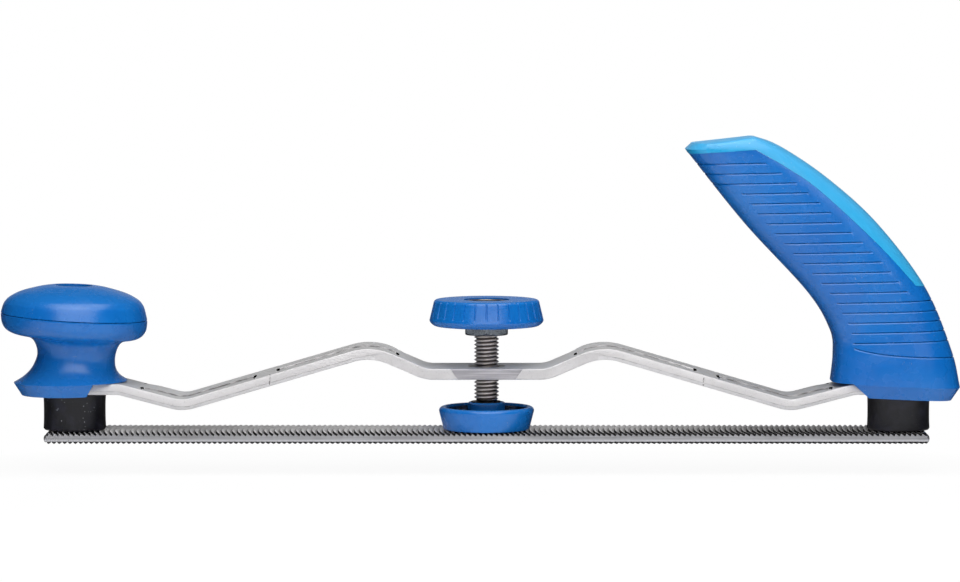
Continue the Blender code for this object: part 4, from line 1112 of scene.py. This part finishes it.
def build_foot():
    """The cup on the blade, with rounded rim and the boss for the spindle's button."""
    rim = FOOT_Z + FOOT_HEIGHT
    floor = FOOT_Z + FOOT_FLOOR
    middle = FOOT_RIM_RADIUS - FOOT_WALL / 2
    inner = FOOT_RIM_RADIUS - FOOT_WALL
    lip = round_corner((FOOT_RIM_RADIUS, rim - FOOT_LIP), (middle, rim))
    bore = BUTTON_RADIUS + FIT
    pit = SPINDLE_Z - FOOT_SCREW_SPACE
    profile = [
        (SCREW_HOLE, FOOT_Z),
        *((FOOT_RADIUS - inset, FOOT_Z + height) for inset, height in FOOT_EDGE),
        *lip,
        *((2 * middle - radius, z) for radius, z in lip[-2::-1]),
        *((inner - inset, floor + height) for inset, height in FOOT_FILLET),
        (BOSS_RADIUS + BOSS_FILLET, floor),
        (BOSS_RADIUS, floor + BOSS_FILLET),
        (BOSS_RADIUS, BOSS_Z - BOSS_CHAMFER),
        (BOSS_RADIUS - BOSS_CHAMFER, BOSS_Z),
        (RING_RADIUS + SEAT, BOSS_Z),
        (RING_RADIUS + SEAT, RING_Z - SEAT),
        (bore, RING_Z - SEAT),
        (bore, pit),
        (SCREW_HOLE, pit),
    ]
    mesh = turned(profile, hollow=True)
    cup = piece("foot_cup", mesh, "foot", "blue_plastic", BLUE, "pressure_foot")
    # Painted shade and grease inside the cup, less of it on the boss.
    x, y, z = places(cup)
    radii = np.hypot(x, y)
    inside = (radii < inner + SEAT) & (radii > BOSS_RADIUS - SEAT) & (z > floor - SEAT)
    set_shares(cup, "shade_and_grease", np.where(radii > BOSS_RADIUS + SEAT, 1.0, BOSS_SHADE_AND_GREASE) * inside)


def build_ring():
    """The open ring that traps the spindle's button."""
    inner = NECK_RADIUS + FIT
    outside = barrel(RING_RADIUS - RING_EDGE, RING_RADIUS, RING_Z, RING_TOP, RING_EDGE)
    profile = ((inner, RING_Z), *outside, (inner, RING_TOP))
    far = SPINDLE_X + 2 * RING_RADIUS
    low = RING_Z - SEAT
    high = RING_TOP + SEAT
    mouth = slab(((SPINDLE_X, low), (far, low), (far, high), (SPINDLE_X, high)), inner * RING_MOUTH)
    mesh = carve(turned(profile, hollow=True), mouth)
    piece("ring", mesh, "foot", "black_steel", BLACK_STEEL, "retaining_ring")


def build_lock_nut():
    """The hexagon nut under the wheel, chamfered at both faces."""
    corner = NUT_ACROSS / math.sqrt(3)
    limits = barrel(NUT_ACROSS / 2 * NUT_FACE, corner - FIT, NUT_Z, NUT_TOP, NUT_CHAMFER)
    bore = rod(THREAD_RADIUS + FIT, 0.0, 2 * NUT_TOP, SMALL_SIDES)
    mesh = carve(rod(corner, NUT_Z, NUT_TOP, 6), bore, within=turned(limits, phase=0.5))
    piece("hex_nut", mesh, "spindle", "zinc_plate", ZINC, "lock_nut", sharp=20)


def wheel_ring(radius, z, flute):
    """One ring of the wheel: a narrow V flute, then a plain land."""
    step = 2 * math.pi / WHEEL_FLUTES
    land = (step - 2 * WHEEL_FLUTE_HALF) / WHEEL_LAND_STEPS
    turns = [(share * WHEEL_FLUTE_HALF, depth) for share, depth in WHEEL_FLUTE_LINE]
    turns += [(WHEEL_FLUTE_HALF + land * part, 0.0) for part in range(1, WHEEL_LAND_STEPS)]
    points = []
    for index in range(WHEEL_FLUTES):
        for turn, depth in turns:
            angle = (index + 0.5) * step + turn
            reach = radius - depth * flute
            points.append((SPINDLE_X + reach * math.cos(angle), reach * math.sin(angle), z))
    return points


def build_wheel():
    """The fluted handwheel with its rounded edges and the recess on top."""
    widest = WHEEL_Z + WHEEL_CHAMFER
    shoulder = WHEEL_TOP - WHEEL_ROUND
    slope = (WHEEL_RADIUS - WHEEL_TOP_RADIUS) / (shoulder - widest)
    profile = [(WHEEL_BASE_RADIUS - inset, WHEEL_Z + rise, 0.0) for inset, rise in WHEEL_EDGE]
    profile += [(WHEEL_RADIUS - inset, widest + rise, 0.0) for inset, rise in WHEEL_BELLY]
    profile += [(WHEEL_RADIUS - rise * slope, widest + rise, share) for rise, share in WHEEL_FLUTE_START]
    edge = (WHEEL_TOP_RADIUS, shoulder)
    for radius, z in round_corner(edge, (WHEEL_TOP_RADIUS - WHEEL_ROUND, WHEEL_TOP)):
        profile.append((radius, z, min(1.0, WHEEL_FLUTE_FADE * (WHEEL_TOP - z) / WHEEL_ROUND)))
    profile += [(WHEEL_RECESS_RADIUS + reach, WHEEL_TOP - fall, 0.0) for reach, fall in WHEEL_BROW]
    corner = (NUT_ACROSS + 2 * SEAT) / math.sqrt(3)
    mesh = carve(
        loft([wheel_ring(radius, z, share * WHEEL_FLUTE_DEPTH) for radius, z, share in profile]),
        rod(WHEEL_RECESS_RADIUS, WHEEL_TOP - WHEEL_RECESS_DEPTH, 2 * WHEEL_TOP),
        rod(WHEEL_BORE, 0.0, 2 * WHEEL_TOP, SMALL_SIDES),
        rod(corner, NUT_Z, NUT_TOP + SEAT, 6),
    )
    piece("wheel", mesh, "spindle", "blue_plastic", BLUE, "handwheel", sharp=24)


def build_wheel_nut():
    """The round nut in the wheel's recess."""
    bottom = WHEEL_TOP - WHEEL_RECESS_DEPTH + SEAT
    top = bottom + WHEEL_NUT_HEIGHT
    outer = WHEEL_RECESS_RADIUS - FIT
    profile = (
        (WHEEL_BORE, bottom),
        (outer, bottom),
        (outer, top - WHEEL_NUT_CHAMFER),
        (outer - WHEEL_NUT_CHAMFER, top),
        (WHEEL_BORE + WHEEL_NUT_BORE_CHAMFER, top),
        (WHEEL_BORE, top - WHEEL_NUT_BORE_CHAMFER),
    )
    mesh = turned(profile, hollow=True)
    piece("round_nut", mesh, "spindle", "spindle_steel", BROWN_STEEL, "wheel_nut")


def knob_ring(radius, height, shift=0.0):
    """A ring of the knob; its head tilts toward the handle and its flare stays almost level."""
    lean = KNOB_FLARE_LEAN + (KNOB_SEAM_LEAN - KNOB_FLARE_LEAN) * ease(height, 0.0, KNOB_NECK_HEIGHT)
    lean += (KNOB_TOP_LEAN - KNOB_SEAM_LEAN) * ease(height, KNOB_SEAM, KNOB_SHOULDER)
    return circle(radius, PAD_Z + height, ROUND_SIDES, FRONT_X + shift, lean)


def pad_space(x, side, notch_x, notch_lean, reach):
    """Shapes that clear a skirt for the strap: its round pad, its run and a slanting notch."""
    half = STRAP_WIDTH / 2 + FIT
    roof = PAD_Z + SEAT
    depth = PAD_Z - 2 * SKIRT_DEPTH
    far = x + side * 2 * STRAP_PAD_REACH
    run = slab(((x, depth), (far, depth), (far, roof), (x, roof)), half)
    bottom_x = x + notch_x - side * notch_lean * (roof - depth) / SKIRT_DEPTH
    notch = slab(((bottom_x, depth), (far, depth), (far, roof), (x + notch_x, roof)), reach)
    return rod(half, depth, roof, ROUND_SIDES, x), run, notch


def build_knob():
    """The palm knob's base and cap, parted by a fine seam."""
    flare, _, shift = KNOB_BASE_LINE[0]
    head = KNOB_BASE_LINE[-1][0]
    line = [(flare - inset, -fall, shift) for inset, fall in KNOB_SKIRT]
    line += spline(KNOB_BASE_LINE, KNOB_BASE_STEPS)
    line += [(radius, KNOB_SEAM - SEAT / 2) for radius in (head - KNOB_SEAM_CHAMFER, SCREW_HOLE)]
    cuts = pad_space(FRONT_X, 1, KNOB_NOTCH_X, KNOB_NOTCH_LEAN, 2 * head)
    bore = rod(SCREW_HOLE, 0.0, PAD_Z + KNOB_SEAM / 2, SMALL_SIDES, FRONT_X)
    base = carve(loft([knob_ring(*point) for point in line]), *cuts, bore)
    piece("knob_lower", base, "holder", "blue_plastic", BLUE, "knob_base", sharp=30)

    top = KNOB_CAP_LINE[-1][1]
    line = [(radius, KNOB_SEAM + SEAT / 2) for radius in (SCREW_RADIUS, head - KNOB_SEAM_CHAMFER)]
    line += spline(KNOB_CAP_LINE, KNOB_CAP_STEPS)
    line += [(radius, top) for radius in (KNOB_RECESS_RADIUS + KNOB_RECESS_RIM, SCREW_RADIUS)]
    floor = PAD_Z + top - KNOB_RECESS_DEPTH
    recess = rod(KNOB_RECESS_RADIUS, floor, 2 * floor, ROUND_SIDES, FRONT_X)
    cap = carve(loft([knob_ring(*point) for point in line]), recess)
    piece("knob_upper", cap, "holder", "blue_plastic", BLUE, "knob_cap", sharp=30)


# The handle's edges and the inlay's lower edge as rising curves of (x, height)
FRONT_CURVE = spline(HANDLE_FRONT, HANDLE_CURVE_STEPS)
FRONT_CURVE += [Vector(HANDLE_TIP), Vector(HANDLE_BROW), Vector(HANDLE_CROWN)]
BACK_CURVE = spline((*HANDLE_BACK, HANDLE_CROWN), HANDLE_CURVE_STEPS)
INLAY_CURVE = spline(INLAY_EDGE, HANDLE_CURVE_STEPS)


def handle_half_width(height):
    """Half of the handle's width: wide at the base, even along the grip, rounded off at the top."""
    base = HANDLE_BASE_WIDTH / 2
    grip = HANDLE_GRIP_WIDTH / 2
    width = base + (grip - base) * ease(height, 0.0, HANDLE_GRIP_HEIGHT)
    into = height - (HANDLE_CROWN[1] - HANDLE_TOP_ROUND)
    if into > 0:
        width -= HANDLE_TOP_ROUND - math.sqrt(max(HANDLE_TOP_ROUND**2 - into**2, 0.0))
    return width


def handle_level(level, inset=0.0):
    """The handle's outline at one height, drawn in by an inset: even points and inward normals."""
    front_x = across(FRONT_CURVE, level) + inset
    back_x = across(BACK_CURVE, level) - inset
    angle = np.linspace(-math.pi, math.pi, HANDLE_SAMPLES)
    power = 2 / HANDLE_SQUARENESS
    run, side = (np.sign(part) * np.abs(part) ** power for part in (np.cos(angle), np.sin(angle)))
    x = (front_x + back_x) / 2 + (back_x - front_x) / 2 * run
    y = (handle_half_width(level) - inset) * side
    length = np.concatenate(([0.0], np.cumsum(np.hypot(np.diff(x), np.diff(y)))))
    even = np.linspace(0.0, length[-1], HANDLE_SIDES, endpoint=False)
    x, y = np.interp(even, length, x), np.interp(even, length, y)
    along_x, along_y = (np.roll(part, -1) - np.roll(part, 1) for part in (x, y))
    size = np.hypot(along_x, along_y)
    return x, y, -along_y / size, along_x / size


def pad_rise(x):
    """The fall of the ribbed pad's lower edge along x."""
    run = np.maximum(x - PAD_EDGE_START, 0.0) / PAD_EDGE_RUN
    return PAD_EDGE_FALL * (np.exp(-run) - 1)


def groove_tilt(x):
    """The climb of the grooves along x."""
    return GROOVE_TILT * (x - GROOVE_START_X)


def groove_inset(first, last=1.0):
    """Gives the depth at any x of a groove that runs from first to last."""
    return lambda x: GROOVE_DEPTH * ease((x - first) / GROOVE_END) * ease((last - x) / GROOVE_END)


def side_groove(number, level):
    """The depth of one groove on the handle's sides; all but a few stop short of its edges."""
    first, last = -1.0, 1.0
    if number >= GROOVE_THROUGH_FRONT:
        share = number / GROOVE_COUNT
        margin = GROOVE_FRONT_MARGIN[0] * (1 - share) + GROOVE_FRONT_MARGIN[1] * share
        first = across(FRONT_CURVE, level) + margin
    if number < GROOVE_THROUGH_BACK:
        climb = groove_tilt(across(INLAY_CURVE, level))
        last = across(INLAY_CURVE, level + climb) - GROOVE_BACK_MARGIN
    return groove_inset(first, last)


def groove_rings(level, rise, inset):
    """Rings at the bevel, the floor and the lip of a groove."""
    steps = ((-GROOVE_BEVEL, None), (-GROOVE_LIP, inset), (GROOVE_LIP, None))
    return [(level + step, rise, depth) for step, depth in steps]


def handle_ring(level, rise, inset, outward):
    """One ring of the handle as (place, groove share), the share giving the groove's painted shade and dirt;
    it climbs along x by rise.
    """
    climb = rise(handle_level(level)[0])
    low = climb.min()
    spread = max(climb.max() - low, SEAT)
    share = (climb - low) / spread
    below = handle_level(level + low)
    above = handle_level(level + low + spread)
    plan = [start + share * (end - start) for start, end in zip(below, above)]
    points = []
    for x, y, inward_x, inward_y, lift in zip(*plan, climb):
        depth = inset(x) if inset else 0.0
        sink = depth - outward
        place = (REAR_X + x + sink * inward_x, y + sink * inward_y, PAD_Z + level + lift)
        points.append((place, depth / GROOVE_DEPTH))
    return points


def handle_rings():
    """The handle's rings from base to crown as (level, rise, inset)."""
    low = HANDLE_BACK[0][1]
    pad = PAD_EDGE_HEIGHT
    plain = pad - PAD_EDGE_FALL - 2 * GROOVE_BEVEL
    rings = []
    for step in range(HANDLE_BASE_STEPS + 1):
        level = low + (plain - low) * step / HANDLE_BASE_STEPS
        fall = HANDLE_BASE_SLOPE * (1 - ease(level, 0.0, HANDLE_LEVEL_HEIGHT))
        rings.append((level, lambda x, fall=fall: -fall * x, None))
    rings += groove_rings(pad, pad_rise, groove_inset(PAD_EDGE_START))
    for number in reversed(range(GROOVE_COUNT)):
        level = GROOVE_TOP - number * GROOVE_PITCH
        rings += groove_rings(level, groove_tilt, side_groove(number, level))
        rings.append((level + GROOVE_PITCH / 2, groove_tilt, None))
    start = GROOVE_TOP + GROOVE_PITCH / 2
    top = HANDLE_BROW[1]
    for step in range(1, HANDLE_TOP_STEPS + 1):
        share = step / HANDLE_TOP_STEPS
        rings.append((start + (top - start) * share, lambda x, left=1 - share: left * groove_tilt(x), None))
    for share in HANDLE_CROWN_SHARES:
        rings.append((top + (HANDLE_CROWN[1] - top) * share, np.zeros_like, None))
    return rings


def handle_stock(grooved, outward=0.0):
    """The whole outer shape of handle and inlay."""
    bottom = PAD_Z - SKIRT_DEPTH
    x, y, _, _ = handle_level(HANDLE_BACK[0][1], SKIRT_CHAMFER)
    rings = [[((REAR_X + px, py, bottom - HANDLE_BASE_SLOPE * px), 0.0) for px, py in zip(x, y)]]
    for level, rise, inset in handle_rings():
        rings.append(handle_ring(level, rise, inset if grooved else None, outward))
    return loft_with_shade_and_dirt(rings)


def inlay_space(clearance):
    """The space over the inlay's lower edge, moved up and back by a clearance."""
    edge = [point + Vector((clearance, clearance)) for point in (*INLAY_CURVE, Vector(INLAY_TIP))]
    ahead = HANDLE_TIP[0] - INLAY_SURPLUS
    above = HANDLE_CROWN[1] + INLAY_SURPLUS
    behind = HANDLE_BACK[0][0] + INLAY_SURPLUS
    below = edge[0].y - INLAY_END_FALL * (behind - edge[0].x)
    corners = [(ahead, edge[-1].y), (ahead, above), (behind, above), (behind, below)]
    return slab([(REAR_X + x, PAD_Z + z) for x, z in [*edge, *corners]], HANDLE_BASE_WIDTH)


def build_handle():
    """The ribbed handle and the light strip over its top and back."""
    cuts = pad_space(REAR_X, -1, HANDLE_NOTCH_X, HANDLE_NOTCH_LEAN, HANDLE_BASE_WIDTH)
    body = carve(handle_stock(True), inlay_space(0.0), *cuts)
    piece("handle_grip", body, "holder", "blue_plastic", BLUE, "handle_body", sharp=24)
    strip = carve(handle_stock(False, INLAY_PROUD), within=inlay_space(INLAY_GAP))
    piece("handle_strip", strip, "holder", "light_blue_plastic", LIGHT_BLUE, "handle_inlay", sharp=30)


def dress_hidden_nodes():
    """Materials for the CAD nodes that stay."""
    finishes = (
        (BROWN_STEEL, ("spindle_bush", "thrust_washer")),
        (ZINC, ("knob_washer", "knob_screw")),
        (BRASS, ("knob_insert", "handle_insert", "foot_insert")),
    )
    for material, nodes in finishes:
        for node in nodes:
            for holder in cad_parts[node].material_slots:
                holder.material = material


def add_aimed(name, data, place, aim):
    """A camera or lamp in its place, turned to its aim."""
    item = add_object(name, data)
    item.location = place
    item.rotation_euler = (Vector(aim) - Vector(place)).to_track_quat("-Z", "Y").to_euler()
    return item


def add_camera():
    """The photograph's view."""
    data = bpy.data.cameras.new("camera")
    distance = (Vector(CAMERA_AIM) - Vector(CAMERA_PLACE)).length
    data.sensor_width = 1000 * CAMERA_SENSOR
    data.lens = 1000 * CAMERA_SENSOR * distance / (PIXEL_SIZE * PHOTO_WIDTH)
    bpy.context.scene.camera = add_aimed("camera", data, CAMERA_PLACE, CAMERA_AIM)


def add_lamps():
    """Soft rectangular lamps."""
    for name, place, aim, size, watts, mirrored in LAMPS:
        data = bpy.data.lights.new(name, "AREA")
        data.shape = "RECTANGLE"
        data.size, data.size_y = size
        data.energy = watts
        add_aimed(name, data, place, aim).visible_glossy = mirrored


def add_world():
    """White to the camera; elsewhere a dim room with a pale wall behind the tool."""
    world = bpy.data.worlds.new("studio")
    world.use_nodes = True
    bpy.context.scene.world = world
    nodes = Nodes(world.node_tree)
    toward = nodes.node("ShaderNodeTexCoord").outputs["Generated"]
    level = nodes.ramp(nodes.axes(toward)["Y"], *WALL_EDGE, *ROOM_LEVELS, "LINEAR")
    room = world.node_tree.nodes["Background"]
    nodes.put(room.inputs["Color"], WHITE)
    nodes.put(room.inputs["Strength"], level)
    white = nodes.node("ShaderNodeBackground", WHITE, 1.0)
    nodes.show_camera("World Output", room.outputs["Background"], white.outputs["Background"])


def add_floor():
    """A plain white floor that keeps a soft shadow in front; what it reflects fades behind the tool."""
    mesh = bmesh.new()
    bmesh.ops.create_grid(mesh, x_segments=1, y_segments=1, size=FLOOR_REACH)
    floor = as_object("floor", mesh)
    floor.location.z = FLOOR_Z
    skin = Skin("floor", FLOOR_ROUGHNESS, specular=FLOOR_GLOSS)
    x, y, _ = skin.axes(skin.place)
    flare = FLOOR_FLARE * FLOOR_REACH
    beyond = skin.ramp(skin.math("ABSOLUTE", x), FLOOR_HALF_LENGTH, FLOOR_REACH, 0.0, flare, "LINEAR")
    back = skin.math("ADD", y, beyond)
    skin.put(skin.shader.inputs["Base Color"], skin.ramp(back, *FLOOR_FADE, *FLOOR_COLOUR, "LINEAR"))
    share = skin.ramp(back, *FLOOR_FADE, *FLOOR_WHITE, "LINEAR")
    white = skin.node("ShaderNodeEmission", Strength=1.0)
    skin.show_camera("Material Output", skin.shader.outputs["BSDF"], white.outputs["Emission"], share)
    floor.data.materials.append(skin.material)


def main():
    """Builds the pieces and the studio."""
    build_blade()
    build_screw("front_screw", "front_blade_screw", "holder")
    build_screw("rear_screw", "rear_blade_screw", "holder")
    build_screw("middle_screw", "foot_screw", "foot")
    build_buffer("buffer_front", "front_buffer", DUSTY_RUBBER)
    build_buffer("buffer_rear", "rear_buffer", CLEAN_RUBBER)
    build_strap()
    build_spindle()
    build_foot()
    build_ring()
    build_lock_nut()
    build_wheel()
    build_wheel_nut()
    build_knob()
    build_handle()
    dress_hidden_nodes()
    add_camera()
    add_world()
    add_floor()
    add_lamps()
    bpy.context.scene.view_settings.view_transform = "Standard"


main()
